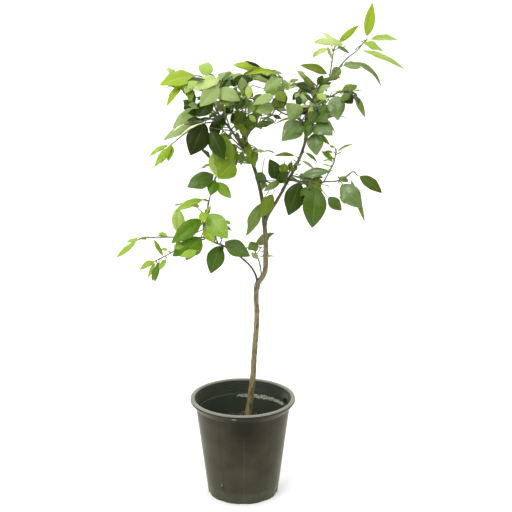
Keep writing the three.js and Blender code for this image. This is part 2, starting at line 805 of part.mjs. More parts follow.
function soilSolid() {
  const bottom = FLOOR_THICKNESS + GAP;
  const edge = SOIL_LEVEL - SOIL_SAG;
  const clearance = 2 * GAP;
  const outline = [
    [0, bottom],
    [innerRadius(bottom) - clearance, bottom],
    [innerRadius(edge) - clearance, edge],
    [innerRadius(edge) - SOIL_EDGE_WIDTH, edge + 1],
    [SOIL_SLOPE_RADIUS, SOIL_LEVEL - 1],
    [SOIL_FLAT_RADIUS, SOIL_LEVEL],
    [0, SOIL_LEVEL],
  ].map(([radius, height]) => new THREE.Vector2(radius, height));
  return solidOf(new THREE.LatheGeometry(outline, POT_SEGMENTS).rotateX(Math.PI / 2));
}

// The trunk ends in a flat cut just above the soil.
function trunkSolid(grown = 0) {
  const radii = TRUNK.map((point) => point[3]);
  const radiusAt = (t) => {
    const place = t * (radii.length - 1);
    const index = Math.min(Math.floor(place), radii.length - 2);
    return THREE.MathUtils.lerp(radii[index], radii[index + 1], place - index);
  };
  const whole = limbSolid(TRUNK, radiusAt, TRUNK_SIDES, LIMB_RINGS * (TRUNK.length - 1), grown);
  const below = new THREE.BoxGeometry(TRUNK_CUT_SIZE, TRUNK_CUT_SIZE, TRUNK_CUT_SIZE);
  below.translate(TRUNK[0][0], TRUNK[0][1], SOIL_LEVEL + GAP - TRUNK_CUT_SIZE / 2);
  return whole.subtract(solidOf(below));
}

function boughSolid({ points, foot, tip }, grown = 0) {
  const radiusAt = (t) => THREE.MathUtils.lerp(foot, tip, t);
  return limbSolid(points, radiusAt, BOUGH_SIDES, LIMB_RINGS * (points.length - 1), grown);
}

function stemSolid(stem, grown = 0) {
  const radiusAt = (t) => THREE.MathUtils.lerp(TWIG_FOOT, TWIG_TIP, t);
  return limbSolid(stem, radiusAt, TWIG_SIDES, stemRings(stem), grown);
}

function twigSolid(twig, grown = 0) {
  const points = [twig.root.toArray(), twig.end.toArray()];
  return limbSolid(points, (t) => THREE.MathUtils.lerp(TWIG_TIP, SIDE_TWIG_TIP, t), TWIG_SIDES, 1, grown);
}

const group = new THREE.Group();
group.name = "potted_lemon_tree";

function addMesh(name, solid, color, roughness, notes = {}) {
  const material = new THREE.MeshStandardMaterial({ color, roughness, metalness: 0 });
  const mesh = new THREE.Mesh(geometryOf(solid), material);
  mesh.name = name;
  mesh.userData = notes;
  group.add(mesh);
}

addMesh("pot", potSolid(), POT_COLOR, 0.55);
addMesh("soil", soilSolid(), SOIL_COLOR, 1.0);

// Each limb is cut clear of the limbs before it.
const grownLimbs = [];

function addLimb(name, solid, grownSolid) {
  const cut = grownLimbs.reduce((rest, limb) => rest.subtract(limb), solid);
  const limb = largestBody(cut);
  place(name, limb);
  grownLimbs.push(grownSolid);
  addMesh(name, limb, WOOD_COLOR, 0.85);
}

addLimb("trunk", trunkSolid(), trunkSolid(GAP));
for (const [name, bough] of Object.entries(BOUGHS)) {
  addLimb(name, boughSolid(bough), boughSolid(bough, GAP));
}

// Every mass gets its stem and its set leaves first, and then the growth between them.
const masses = Object.entries(MASSES).map(([name, mass]) => {
  const cut = grownLimbs.reduce((rest, limb) => rest.subtract(limb), stemSolid(mass.stem));
  const stem = largestBody(cut);
  place(name, stem);
  grownLimbs.push(stemSolid(mass.stem, GAP));
  return { name, mass, solid: stem, skipped: [] };
});

function tryToAdd(entry, solid, probe, label) {
  if (!isClear(entry.name, probe)) {
    entry.skipped.push(label);
    return false;
  }
  place(entry.name, solid);
  entry.solid = entry.solid.add(solid);
  return true;
}

for (const entry of masses) {
  entry.mass.leaves.forEach(([at, x, y, z, width, facing], i) => {
    const root = stemPoint(entry.mass.stem, Math.min(at, LAST_ROOT));
    const leaf = { root, tip: new THREE.Vector3(x, y, z), width, facing: vector(FACING[facing]) };
    tryToAdd(entry, leafSolid(leaf), leafSolid(leaf, GAP), `set ${i}`);
  });
}

for (const entry of masses) {
  const { twigs, leaves } = growth(entry.mass.stem, entry.mass.grow);
  leaves.forEach((leaf, i) => tryToAdd(entry, leafSolid(leaf), leafSolid(leaf, GAP), `leaf ${i}`));
  twigs.forEach((twig, i) => {
    if (tryToAdd(entry, twigSolid(twig), twigSolid(twig, GAP), `twig ${i}`)) {
      twig.leaves.forEach((leaf, j) => {
        tryToAdd(entry, leafSolid(leaf), leafSolid(leaf, GAP), `twig ${i} leaf ${j}`);
      });
    }
  });
  addMesh(entry.name, largestBody(entry.solid), LEAF_COLOR, 0.6, { skipped: entry.skipped });
}

export default group;
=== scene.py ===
# A young lemon tree in a plain nursery pot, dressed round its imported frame.
# Sizes are real ones in millimetres unless a name or a comment says metres. +Z is up, the origin is the
# middle of the pot's underside, and the tree is seen from -Y. The crown grows by the same rule as the solids.

import math

import bpy
from bpy.props import FloatProperty, FloatVectorProperty, IntProperty, PointerProperty
from mathutils import Matrix, Vector, noise
from mathutils.bvhtree import BVHTree


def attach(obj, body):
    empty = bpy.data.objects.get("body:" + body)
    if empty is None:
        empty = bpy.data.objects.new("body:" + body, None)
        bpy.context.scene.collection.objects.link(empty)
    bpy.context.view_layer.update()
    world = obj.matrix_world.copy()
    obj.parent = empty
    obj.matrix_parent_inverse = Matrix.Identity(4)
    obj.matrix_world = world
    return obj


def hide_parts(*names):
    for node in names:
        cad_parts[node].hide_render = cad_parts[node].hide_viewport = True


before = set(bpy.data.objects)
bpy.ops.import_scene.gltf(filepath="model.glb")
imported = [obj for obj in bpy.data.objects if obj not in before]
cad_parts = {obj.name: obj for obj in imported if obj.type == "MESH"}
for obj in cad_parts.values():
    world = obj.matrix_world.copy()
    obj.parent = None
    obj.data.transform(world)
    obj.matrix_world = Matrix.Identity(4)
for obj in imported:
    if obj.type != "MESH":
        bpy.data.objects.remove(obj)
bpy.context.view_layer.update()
MM = 0.001
BODY = "root"

bl_info = {
    "name": "Potted lemon tree",
    "version": (1, 0, 0),
    "blender": (4, 5, 0),
    "location": "View3D > Sidebar > Lemon tree",
    "description": "Builds a young lemon tree in a nursery pot around its packed frame",
    "category": "Add Mesh",
}

# Limbs, as in the solids: the trunk is [x, y, z, radius], a bough is its path and its radius at foot and tip.
TRUNK = [
    (7, 0, 165, 12.6), (9, 0, 178, 11.0), (12, 2, 200, 8.8), (19, 5, 251, 8.0), (24, 3, 292, 7.4),
    (27, -2, 333, 7.1), (30, -5, 387, 6.8), (34, -3, 438, 6.5), (36, 2, 489, 6.4), (34, 5, 521, 6.3),
    (35, 3, 548, 6.9), (40, -1, 568, 7.0), (50, -5, 584, 6.4), (57, -6, 603, 6.0), (58, -3, 639, 6.1),
    (58, 1, 678, 5.9), (54, 2, 727, 5.6),
]
SOIL_LEVEL = 177
BOUGHS = {
    "left_leader": ([(54, 2, 724), (50, 6, 772), (44, 10, 804), (35, 15, 840), (22, 20, 877), (9, 20, 900),
                     (-1, 18, 912)], 4.8, 3.9),
    "right_leader": ([(55, 1, 716), (62, -3, 740), (75, -10, 764), (93, -20, 798), (112, -30, 838),
                      (131, -35, 875), (144, -42, 908), (156, -45, 948)], 4.3, 3.4),
    "low_left_bough": ([(38, 0, 566), (32, -10, 592), (19, -20, 617), (-6, -40, 647), (-40, -60, 677),
                        (-71, -70, 693), (-93, -75, 706)], 2.6, 2.0),
    "low_left_riser": ([(-90, -74, 704), (-92, -78, 745), (-82, -70, 785), (-76, -62, 812),
                        (-68, -55, 838)], 1.7, 1.4),
    "upper_left_bough": ([(-1, 18, 912), (-15, 2, 938), (-30, -18, 965), (-48, -38, 991),
                          (-62, -48, 1016)], 3.4, 2.2),
    "upper_middle_bough": ([(4, 20, 906), (6, 36, 937), (8, 50, 970), (9, 58, 1006)], 2.6, 1.8),
    "middle_right_bough": ([(5, 28, 925), (19, 58, 941), (36, 88, 951), (56, 112, 961),
                            (74, 128, 969)], 2.8, 1.8),
    "top_right_bough": ([(155, -45, 946), (153, -32, 985), (163, -10, 1014), (180, 10, 1045),
                         (195, 20, 1059), (210, 29, 1075)], 3.1, 1.8),
    "cluster_bough": ([(160, -15, 1005), (173, -38, 1028), (191, -58, 1042), (215, -78, 1055)], 2.2, 1.6),
    "centre_bough": ([(153, -38, 965), (140, -52, 990), (120, -70, 1003), (98, -85, 1014),
                      (75, -99, 1030), (56, -108, 1043)], 2.3, 1.6),
    "right_low_bough": ([(113, -31, 839), (140, -58, 842), (171, -85, 844), (201, -105, 852),
                         (226, -120, 857)], 2.5, 1.6),
    "back_left_bough": ([(37, 14, 834), (24, 60, 870), (4, 112, 915), (-18, 150, 958)], 2.7, 1.7),
    "back_right_bough": ([(124, -33, 862), (148, 20, 898), (158, 78, 942), (168, 128, 985)], 2.6, 1.7),
}

# Bare twigs of the visual model alone, which show dark in the gaps of the crown.
BARE_TWIGS = [
    [(56, -26, 836), (83, -34, 839), (112, -31, 836)],
    [(2, -2, 1004), (-12, -24, 1031), (-26, -40, 1045)],
    [(2, -2, 1004), (-2, -22, 1029), (-7, -36, 1051)],
    [(9, 56, 1037), (24, 40, 1058), (41, 30, 1056), (61, 24, 1052)],
    [(38, 88, 953), (45, 84, 965), (48, 80, 981)],
    [(59, 112, 963), (69, 104, 979), (81, 98, 991)],
    [(-34, -18, 965), (-48, -30, 969), (-65, -44, 966)],
    [(-39, -22, 973), (-53, -36, 982), (-67, -50, 985)],
    [(53, -14, 835), (50, -22, 862), (54, -30, 891)],
    [(93, -88, 1015), (84, -94, 1006), (79, -100, 997)],
]

# Ways that a leaf's upper face can look.
FACING = {
    "up": (0, -0.25, 1),
    "slant": (0, -0.8, 0.7),
    "front": (0, -1, 0.3),
    "back": (0, 0.9, 0.6),
}

# A height over the whole tree, for a mass on which no leaf grows by the rule.
ALL_BARE = 2000

# Masses of foliage, each named as its solid. A mass has its stem, its growth by the rule as
# (count, length, seed, tones), and the leaves that mark its outline as
# (place along the stem, tip x, tip y, tip z, width, facing, tone, form), with no form for a plain leaf.
# More leaves have a root of their own and stand on a spur where it is off the stem, as
# (place along the stem, root, tip, width, facing, tone, form).
# Leaves that grow by the rule are left out below the height that a mass gives as bare.
MASSES = {
    "left_crest": {
        "stem": [(-62, -48, 1016), (-78, -60, 1062), (-90, -66, 1094), (-110, -72, 1101), (-126, -78, 1095),
                 (-135, -82, 1081)],
        "leaves": [
            (0.5, -192, -118, 1086, 44, "slant", "bright"),
            (0.95, -172, -104, 1083, 30, "slant", "bright"),
            (1.0, -176, -108, 1034, 17, "slant", "bright", "hanging"),
            (0.42, -80, -36, 1128, 36, "front", "soft"),
            (0.62, -132, -112, 1066, 30, "front", "pale"),
        ],
        "more": [
            (0.9, (-155, -70, 1100), (-180, -90, 1119), 18, "slant", "pale", "ragged"),
            (0.95, (-138, -80, 1083), (-186, -84, 1069), 6, "up", "moss"),
            (0.45, (-89, -80, 1095), (-127, -120, 1078), 29, "slant", "soft"),
            (0.95, (-119, -95, 1071), (-121, -110, 1045), 16, "front", "fresh"),
        ],
        "grow": (3, 46, 11, ("soft", "fresh")),
    },
    "left_front": {
        "stem": [(-28, -16, 962), (-42, -72, 1018), (-46, -112, 1062), (-50, -132, 1096)],
        "leaves": [
            (0.95, -96, -168, 1045, 40, "front", "grey"),
        ],
        "more": [
            (0.9, (-46, -110, 1097), (-112, -150, 1078), 34, "slant", "pale", "hanging"),
            (0.75, (-67, -122, 1069), (-1, -138, 1053), 39, "slant", "grey", "hanging"),
            (0.6, (-47, -70, 1086), (-67, -100, 1067), 16, "front", "fresh"),
            (0.4, (-68, -60, 1043), (-106, -80, 1004), 39, "front", "dark"),
            (0.55, (-60, -90, 1058), (-79, -110, 1048), 18, "front", "deep"),
            (0.3, (-62, -40, 1028), (-38, -60, 1012), 21, "front", "moss", "curled"),
            (0.35, (-43, -50, 1039), (-28, -60, 1027), 16, "front", "olive", "curled"),
            (0.25, (-67, -50, 998), (-38, -60, 983), 24, "front", "dark"),
        ],
        "grow": (6, 52, 23, ("dark", "mid", "olive")),
    },
    "left_dark": {
        "stem": [(-56, -44, 1004), (-76, -22, 1012), (-104, 0, 1016), (-124, 14, 1020)],
        "leaves": [
            (0.8, -142, 2, 1008, 34, "front", "dark"),
            (0.5, -168, -40, 968, 36, "slant", "grey"),
        ],
        "more": [
            (0.5, (-123, -60, 1027), (-139, -70, 1043), 18, "front", "mid", "ragged"),
            (0.15, (-99, -70, 1024), (-127, -90, 1034), 18, "slant", "grey"),
            (0.2, (-100, -60, 1012), (-128, -75, 1012), 18, "front", "dark"),
        ],
        "grow": (5, 56, 13, ("dark", "deep", "dark")),
    },
    "left_low": {
        "stem": [(-46, -36, 988), (-64, -60, 996), (-84, -78, 996), (-98, -90, 991)],
        "leaves": [
            (0.85, -163, -112, 975, 38, "slant", "grey"),
            (0.6, -187, -124, 955, 28, "slant", "grey"),
        ],
        "more": [
            (0.6, (-85, -100, 997), (-120, -144, 924), 56, "front", "deep"),
            # Painted shadow: a deep-toned leaf stands for the shaded dark between the two glints below.
            (0.9, (-89, -95, 999), (-131, -110, 998), 24, "up", "deep"),
            # Two near-white strips are painted highlights: glints of light on leaf edges.
            (0.95, (-86, -120, 998), (-144, -150, 971), 7, "up", "silver"),
            (0.95, (-135, -118, 994), (-160, -140, 980), 5, "up", "silver"),
            (0.1, (-72, -30, 987), (-58, -50, 949), 29, "front", "dark"),
        ],
        "grow": (2, 50, 41, ("deep", "dark")),
    },
    "left_sprig": {
        "stem": [(-38, -26, 977), (-80, -36, 982), (-112, -46, 972), (-140, -54, 956), (-160, -62, 941),
                 (-171, -68, 933)],
        "leaves": [
            (1.0, -226, -76, 903, 14, "slant", "young", "curled"),
            (0.97, -210, -92, 884, 18, "front", "young", "ragged"),
            (0.9, -194, -98, 892, 16, "front", "bright", "curled"),
            (0.93, -176, -88, 898, 20, "front", "spring", "ragged"),
        ],
        "grow": (1, 26, 53, ("young",)),
    },
    "left_hanging": {
        "stem": [(-22, -8, 952), (-34, -40, 964), (-46, -66, 970)],
        "leaves": [
            (1.0, -42, -120, 866, 54, "front", "fresh"),
        ],
        "more": [
            (0.9, (-77, -112, 986), (-40, -140, 913), 40, "front", "dark"),
            (0.95, (-54, -92, 936), (-58, -112, 863), 46, "front", "soft"),
        ],
        "grow": (1, 52, 61, ("fresh",)),
    },
    "left_twig": {
        "stem": [(26, 19, 868), (-12, 4, 876), (-32, -16, 888)],
        "more": [(1.0, (-14, -104, 906), (-56, -130, 865), 52, "front", "fresh", "plain")],
        "grow": (2, 34, 71, ("fresh", "mid")),
    },
    "leader_leaves": {
        "stem": [(18, 20, 886), (16, 2, 916), (10, -14, 944)],
        "leaves": [
            (0.9, -8, -26, 980, 18, "front", "olive"),
            (0.5, 32, -24, 868, 22, "front", "fresh"),
        ],
        "more": [
            (0.85, (10, -10, 934), (19, -30, 893), 18, "front", "fresh"),
            (0.45, (34, -5, 910), (29, -20, 871), 16, "front", "olive"),
            (0.4, (0, 0, 907), (-3, -10, 870), 16, "front", "moss"),
            (0.5, (24, -8, 913), (40, -14, 897), 9, "front", "moss", "hanging"),
            (0.6, (25, -22, 908), (58, -34, 910), 9, "slant", "grey"),
            (0.6, (46, -32, 907), (83, -44, 905), 9, "up", "moss", "hanging"),
        ],
        "grow": (3, 44, 9, ("olive", "dark")),
    },
    "top_middle": {
        "stem": [(9, 58, 1006), (9, 60, 1032), (4, 58, 1054), (-6, 55, 1068)],
        "leaves": [
            (0.9, -38, 44, 1072, 30, "slant", "dark"),
            (0.6, 10, 26, 1024, 22, "front", "bright"),
            (1.0, -62, 84, 1078, 26, "slant", "grey"),
        ],
        "more": [
            (0.95, (-32, 40, 1072), (-63, 30, 1079), 21, "slant", "grey", "hanging"),
            (0.95, (-29, 30, 1076), (7, 10, 1087), 21, "slant", "grey"),
            (0.95, (-27, 10, 1077), (29, -10, 1081), 24, "front", "dark"),
            (0.95, (-29, 0, 1079), (-45, -20, 1060), 21, "front", "leaf", "curled"),
            (0.95, (-14, 0, 1059), (10, -15, 1069), 16, "slant", "moss", "hanging"),
        ],
        "grow": (6, 52, 29, ("olive", "moss", "dark")),
    },
    "middle_dark": {
        "stem": [(6, 40, 948), (-6, 20, 974), (-12, 2, 1000), (-16, -18, 1020)],
        "leaves": [
            (0.5, -28, -22, 978, 28, "front", "dark"),
            (0.4, 22, -12, 958, 28, "front", "olive"),
        ],
        "more": [
            (0.85, (-24, 0, 1015), (-39, -20, 1000), 21, "front", "deep", "curled"),
            (0.65, (10, 0, 1003), (-24, -20, 975), 34, "front", "khaki", "curled"),
            (0.6, (12, 0, 996), (36, -30, 970), 34, "front", "khaki"),
            (0.6, (-3, -10, 988), (-14, -30, 960), 24, "front", "olive"),
            (0.95, (17, -40, 1001), (34, -50, 986), 13, "front", "soft"),
            (0.7, (19, 0, 1011), (7, -10, 1039), 16, "front", "mid"),
            (0.85, (24, 0, 1028), (48, -10, 1047), 13, "front", "mid", "folded"),
        ],
        "grow": (5, 54, 3, ("khaki", "olive", "dark")),
        "bare": ALL_BARE,
    },
    "top_bright": {
        "stem": [(74, 128, 969), (94, 122, 1010), (104, 112, 1046), (90, 105, 1074), (52, 100, 1090)],
        "leaves": [
            (1.0, -24, 94, 1101, 28, "slant", "bright"),
            (0.82, 6, 84, 1074, 28, "slant", "bright"),
            (0.7, 26, 90, 1064, 30, "slant", "grey"),
            (0.6, 116, 90, 1038, 26, "slant", "pale"),
            (0.55, 56, 72, 1034, 32, "front", "soft"),
        ],
        "more": [
            # Painted shade: a narrow dark strip for the shaded half of the curled bright leaf.
            (0.95, (49, 95, 1093), (7, 85, 1112), 8, "front", "dark"),
            (0.8, (80, 60, 1064), (29, 40, 1077), 24, "slant", "grey"),
            # Painted shade again: a narrow dark strip for the shaded ridge of the grey leaf beside it.
            (0.8, (83, 50, 1066), (36, 35, 1090), 8, "front", "dark"),
            (0.75, (100, 60, 1074), (51, 20, 1046), 31, "slant", "grey", "hanging"),
            (0.75, (95, 70, 1072), (113, 60, 1044), 16, "slant", "grey", "hanging"),
            (0.75, (95, 60, 1076), (7, 10, 1089), 14, "slant", "bright", "hanging"),
        ],
        "grow": (5, 56, 37, ("soft", "mid", "grey")),
    },
    "centre_twig": {
        "stem": [(86, -92, 1022), (82, -106, 1046), (80, -116, 1066)],
        "leaves": [
            (0.9, 26, -140, 1044, 26, "slant", "grey"),
            (0.8, 100, -142, 1038, 42, "front", "khaki"),
            (0.3, 32, -134, 1026, 30, "front", "grey"),
        ],
        "more": [
            (0.95, (81, -120, 1073), (101, -142, 1051), 27, "slant", "olive", "folded"),
        ],
        "grow": (2, 44, 127, ("olive", "mid")),
    },
    "centre_end": {
        "stem": [(56, -108, 1043), (36, -116, 1054), (14, -120, 1056), (4, -124, 1064)],
        "leaves": [(0.9, -12, -146, 1030, 26, "slant", "dark", "curled")],
        "more": [
            (0.1, (71, -112, 1055), (99, -130, 1035), 29, "front", "khaki"),
            (0.1, (67, -104, 1032), (41, -115, 1040), 8, "front", "deep"),
            (0.97, (18, -128, 1092), (16, -142, 1057), 18, "front", "soft"),
            (0.1, (72, -80, 1009), (95, -95, 1002), 10, "front", "dark"),
        ],
        "grow": (5, 46, 131, ("moss", "mid", "olive")),
    },
    "right_knot": {
        "stem": [(151, -42, 975), (146, -60, 990), (136, -72, 1000)],
        "leaves": [
            (1.0, 104, -104, 1042, 44, "front", "grey", "hanging"),
            (0.6, 94, -118, 953, 50, "front", "satin", "hanging"),
            (0.9, 76, -82, 985, 13, "up", "fresh"),
        ],
        "more": [
            (0.95, (165, -70, 1028), (135, -90, 1030), 9, "slant", "pale"),
            (0.6, (160, -60, 1012), (133, -80, 1023), 21, "front", "dark"),
            (0.95, (167, -75, 1034), (159, -90, 1001), 12, "front", "soft"),
        ],
        "grow": (3, 44, 149, ("mid", "dark")),
    },
    "cluster_low": {
        "stem": [(154, -30, 988), (164, -52, 990), (170, -74, 980), (171, -88, 970)],
        "leaves": [
            (1.0, 177, -118, 918, 40, "front", "satin", "hanging"),
            (0.6, 214, -126, 968, 50, "slant", "satin", "hanging"),
            (0.9, 210, -102, 940, 13, "front", "fresh"),
        ],
        "more": [
            (0.4, (172, -70, 1021), (190, -90, 996), 37, "front", "dark"),
            (0.35, (184, -60, 1031), (205, -80, 1001), 24, "front", "mid", "curled"),
            (0.4, (163, -50, 974), (149, -60, 966), 16, "front", "moss"),
        ],
        "grow": (4, 46, 10, ("mid", "dark")),
    },
    "cluster_middle": {
        "stem": [(172, -36, 1027), (179, -60, 1020), (186, -76, 1014)],
        "leaves": [
            (0.8, 158, -108, 998, 32, "front", "mid"),
            (1.0, 200, -118, 998, 36, "front", "mid"),
        ],
        "more": [
            (0.1, (180, -40, 1054), (214, -60, 1075), 18, "slant", "grey", "folded"),
            (0.2, (177, -55, 1055), (202, -80, 1045), 18, "front", "soft"),
            (0.7, (214, -70, 1062), (264, -95, 1062), 10, "slant", "bright"),
        ],
        "grow": (6, 46, 4, ("mid", "dark", "satin")),
    },
    "cluster_tip": {
        "stem": [(215, -78, 1055), (231, -86, 1065), (250, -92, 1070), (265, -97, 1064)],
        "leaves": [
            (0.1, 226, -118, 1002, 42, "front", "satin", "hanging"),
            (0.5, 260, -118, 1042, 28, "front", "dark"),
            (1.0, 290, -122, 1010, 16, "front", "moss", "hanging"),
            (0.9, 282, -98, 1070, 9, "up", "fresh"),
        ],
        "more": [
            (0.3, (233, -75, 1065), (272, -90, 1075), 24, "slant", "olive", "folded"),
            (0.3, (235, -80, 1059), (260, -105, 1040), 24, "front", "dark"),
        ],
        "grow": (4, 40, 11, ("dark", "mid")),
    },
    "cluster_high": {
        "stem": [(181, 11, 1046), (166, -14, 1051), (146, -34, 1064), (135, -44, 1070)],
        "leaves": [
            (0.2, 128, -58, 1076, 32, "slant", "dark"),
            (0.6, 136, -78, 1032, 36, "front", "grey"),
            (1.0, 114, -50, 1068, 10, "up", "young"),
            (0.05, 136, 8, 1100, 16, "slant", "olive"),
        ],
        "more": [
            (0.95, (131, -60, 1077), (115, -64, 1068), 5, "front", "grey", "hanging"),
            (0.35, (176, -20, 1063), (154, -24, 1088), 8, "front", "moss", "hanging"),
            (0.65, (154, -24, 1088), (132, -30, 1106), 16, "slant", "grey"),
        ],
        "grow": (4, 46, 57, ("dark", "mid")),
    },
    "long_shoot": {
        "stem": [(210, 29, 1075), (234, 40, 1101), (256, 50, 1124), (280, 60, 1141), (296, 66, 1159),
                 (304, 70, 1166)],
        "leaves": [
            (1.0, 316, 72, 1256, 26, "front", "bright", "folded"),
            (0.97, 386, 86, 1161, 20, "slant", "soft", "ragged"),
            (0.25, 292, 66, 1098, 24, "slant", "grey"),
        ],
        "more": [
            (0.97, (289, 62, 1162), (343, 50, 1140), 21, "slant", "young", "ragged"),
            (0.75, (276, 52, 1145), (400, 44, 1095), 17, "slant", "soft", "ragged"),
            (0.45, (245, 46, 1114), (340, 26, 1054), 27, "up", "moss", "hanging"),
            (0.3, (240, 26, 1106), (215, 6, 1084), 24, "front", "moss", "folded"),
        ],
        "grow": (2, 36, 14, ("soft", "grey")),
        "bare": ALL_BARE,
    },
    "pale_shoot": {
        "stem": [(212, 32, 1073), (219, 70, 1105), (226, 110, 1135), (234, 130, 1147)],
        "leaves": [
            (0.1, 140, 24, 1111, 25, "slant", "olive"),
            (0.7, 174, 136, 1112, 15, "slant", "pale", "curled"),
            (1.0, 178, 154, 1147, 18, "slant", "soft", "hanging"),
            (1.0, 200, 164, 1172, 12, "slant", "pale"),
            (1.0, 290, 122, 1196, 17, "front", "bright", "ragged"),
            (0.95, 266, 106, 1127, 9, "front", "moss"),
        ],
        "more": [
            (0.65, (255, 90, 1146), (175, 60, 1158), 24, "slant", "pale", "hanging"),
        ],
        "grow": (2, 36, 14, ("soft", "grey")),
    },
    "inner_right": {
        "stem": [(47, 9, 798), (54, -10, 828), (74, -30, 832), (100, -50, 842)],
        "leaves": [
            (0.9, 66, -66, 899, 36, "front", "dark"),
            (0.35, 34, -22, 845, 24, "slant", "mid"),
            (0.8, 112, -82, 872, 26, "front", "dark"),
            (1.0, 52, -64, 818, 20, "slant", "moss"),
            (0.5, 30, -44, 858, 24, "slant", "mid"),
        ],
        "more": [
            (0.95, (102, -50, 888), (99, -70, 858), 24, "front", "olive", "folded"),
            (0.6, (78, -46, 814), (44, -64, 752), 33, "front", "olive"),
            (0.6, (52, -26, 790), (9, -42, 700), 30, "front", "moss", "curled"),
        ],
        "grow": (2, 40, 16, ("moss", "soft")),
    },
    "bough_shoot": {
        "stem": [(104, -26, 822), (112, -44, 856), (126, -56, 882), (138, -62, 898)],
        "more": [
            (0.95, (149, -60, 915), (181, -76, 892), 9, "slant", "moss", "hanging"),
            (0.9, (140, -55, 893), (176, -72, 872), 8, "slant", "grey", "hanging"),
            (0.95, (133, -60, 902), (76, -64, 905), 11, "slant", "olive", "hanging"),
            (0.55, (119, -30, 886), (114, -34, 862), 12, "front", "moss"),
        ],
        "grow": (2, 30, 19, ("fresh", "grey")),
    },
    "low_pair": {
        "stem": [(143, -60, 842), (154, -82, 851), (170, -106, 851)],
        "leaves": [
            (0.3, 140, -84, 868, 18, "slant", "satin"),
            (0.6, 192, -106, 828, 26, "front", "olive"),
        ],
        "more": [
            (0.55, (142, -92, 858), (111, -108, 769), 50, "front", "dark"),
            (0.65, (168, -84, 861), (185, -98, 829), 34, "front", "fresh"),
            (0.45, (136, -80, 859), (212, -100, 876), 26, "slant", "satin"),
            (1.0, (177, -114, 850), (167, -152, 750), 57, "front", "leaf", "hanging"),
            (0.9, (204, -86, 813), (240, -98, 779), 29, "front", "mid", "folded"),
        ],
        "grow": (3, 40, 5, ("mid", "leaf")),
    },
    "right_end": {
        "stem": [(226, -120, 857), (244, -130, 868), (262, -138, 884), (272, -142, 877)],
        "leaves": [
            (1.0, 330, -162, 838, 30, "slant", "khaki"),
            (0.5, 292, -150, 764, 14, "front", "olive"),
        ],
        "more": [
            (0.1, (259, -106, 799), (233, -110, 817), 18, "front", "spring"),
            (0.1, (230, -126, 855), (285, -158, 800), 47, "front", "satin", "hanging"),
            (0.1, (229, -118, 867), (253, -128, 857), 16, "slant", "moss", "folded"),
        ],
        "grow": (2, 34, 44, ("moss", "mid")),
        "bare": ALL_BARE,
    },
    "right_riser": {
        "stem": [(196, -101, 851), (208, -98, 874), (220, -94, 898), (225, -90, 926)],
        "leaves": [
            (0.9, 266, -92, 941, 11, "up", "fresh"),
            (0.7, 190, -84, 922, 14, "slant", "fresh"),
            (0.5, 192, -98, 893, 9, "up", "young"),
        ],
        "more": [
            (0.9, (220, -95, 920), (198, -88, 923), 7, "slant", "fresh"),
            (0.95, (222, -92, 931), (209, -88, 937), 8, "slant", "young"),
            (0.7, (219, -96, 901), (191, -90, 898), 5, "slant", "grey", "hanging"),
        ],
        "grow": (3, 26, 15, ("fresh", "young")),
    },
    "riser_tip": {
        "stem": [(-68, -55, 838), (-62, -50, 856), (-56, -44, 874)],
        "leaves": [
            (0.6, -132, -80, 832, 46, "slant", "mid"),
            (0.3, -76, -84, 812, 28, "front", "lush"),
            (0.15, -26, -60, 800, 27, "front", "spring"),
        ],
        "grow": (3, 46, 239, ("mid", "fresh")),
    },
    "riser_side": {
        "stem": [(-80, -67, 795), (-98, -76, 800), (-128, -84, 796), (-160, -86, 790)],
        "leaves": [
            (1.0, -150, -98, 716, 32, "front", "soft", "folded"),
        ],
        "more": [
            (0.15, (-87, -70, 801), (-161, -96, 777), 21, "slant", "young", "folded"),
        ],
        "grow": (1, 36, 4, ("soft",)),
    },
    "low_middle": {
        "stem": [(-84, -72, 700), (-93, -94, 730), (-92, -106, 756), (-86, -110, 782)],
        "leaves": [
            (0.8, -168, -150, 712, 40, "front", "lush", "folded"),
            (1.0, -33, -154, 724, 50, "front", "spring"),
            (0.45, -66, -136, 708, 24, "front", "bright"),
        ],
        "more": [
            (0.4, (-92, -112, 719), (-147, -140, 676), 52, "front", "lush", "curled"),
            (0.3, (-103, -140, 692), (-148, -150, 678), 21, "front", "young", "ragged"),
            (0.35, (-134, -134, 708), (-162, -144, 696), 21, "slant", "spring", "ragged"),
        ],
        "grow": (3, 50, 7, ("lush", "bright")),
    },
    "low_left_spray": {
        "stem": [(-93, -75, 706), (-130, -86, 707), (-166, -92, 711), (-226, -96, 711), (-252, -96, 706)],
        "leaves": [
            (1.0, -306, -96, 660, 14, "front", "young", "ragged"),
            (0.95, -281, -96, 700, 11, "slant", "young"),
            (0.7, -190, -102, 664, 11, "front", "fresh", "curled"),
            (0.55, -204, -76, 716, 12, "slant", "young", "ragged"),
        ],
        "grow": (3, 30, 17, ("young", "fresh")),
    },
    "low_left_drop": {
        "stem": [(-91, -73, 701), (-124, -70, 691), (-158, -70, 674), (-194, -74, 655), (-214, -79, 646)],
        "leaves": [
            (1.0, -252, -80, 624, 14, "slant", "young", "ragged"),
            (0.95, -231, -86, 604, 10, "front", "young", "curled"),
            (0.85, -214, -84, 594, 14, "front", "lush", "curled"),
            (0.35, -168, -104, 666, 30, "front", "lush", "ragged"),
            (0.2, -136, -98, 654, 40, "front", "lush", "curled"),
        ],
        "more": [
            (0.95, (-205, -84, 641), (-220, -92, 600), 16, "front", "lush", "curled"),
            (0.7, (-184, -76, 654), (-205, -90, 625), 13, "front", "young", "folded"),
            (0.95, (-209, -80, 646), (-247, -90, 631), 16, "slant", "young", "curled"),
        ],
        "grow": (2, 40, 15, ("lush", "bright")),
    },
    "low_right": {
        "stem": [(-50, -62, 682), (-52, -84, 694), (-50, -96, 704)],
        "leaves": [
            (1.0, 20, -112, 668, 44, "slant", "mid"),
            (0.6, -76, -124, 628, 44, "front", "leaf"),
        ],
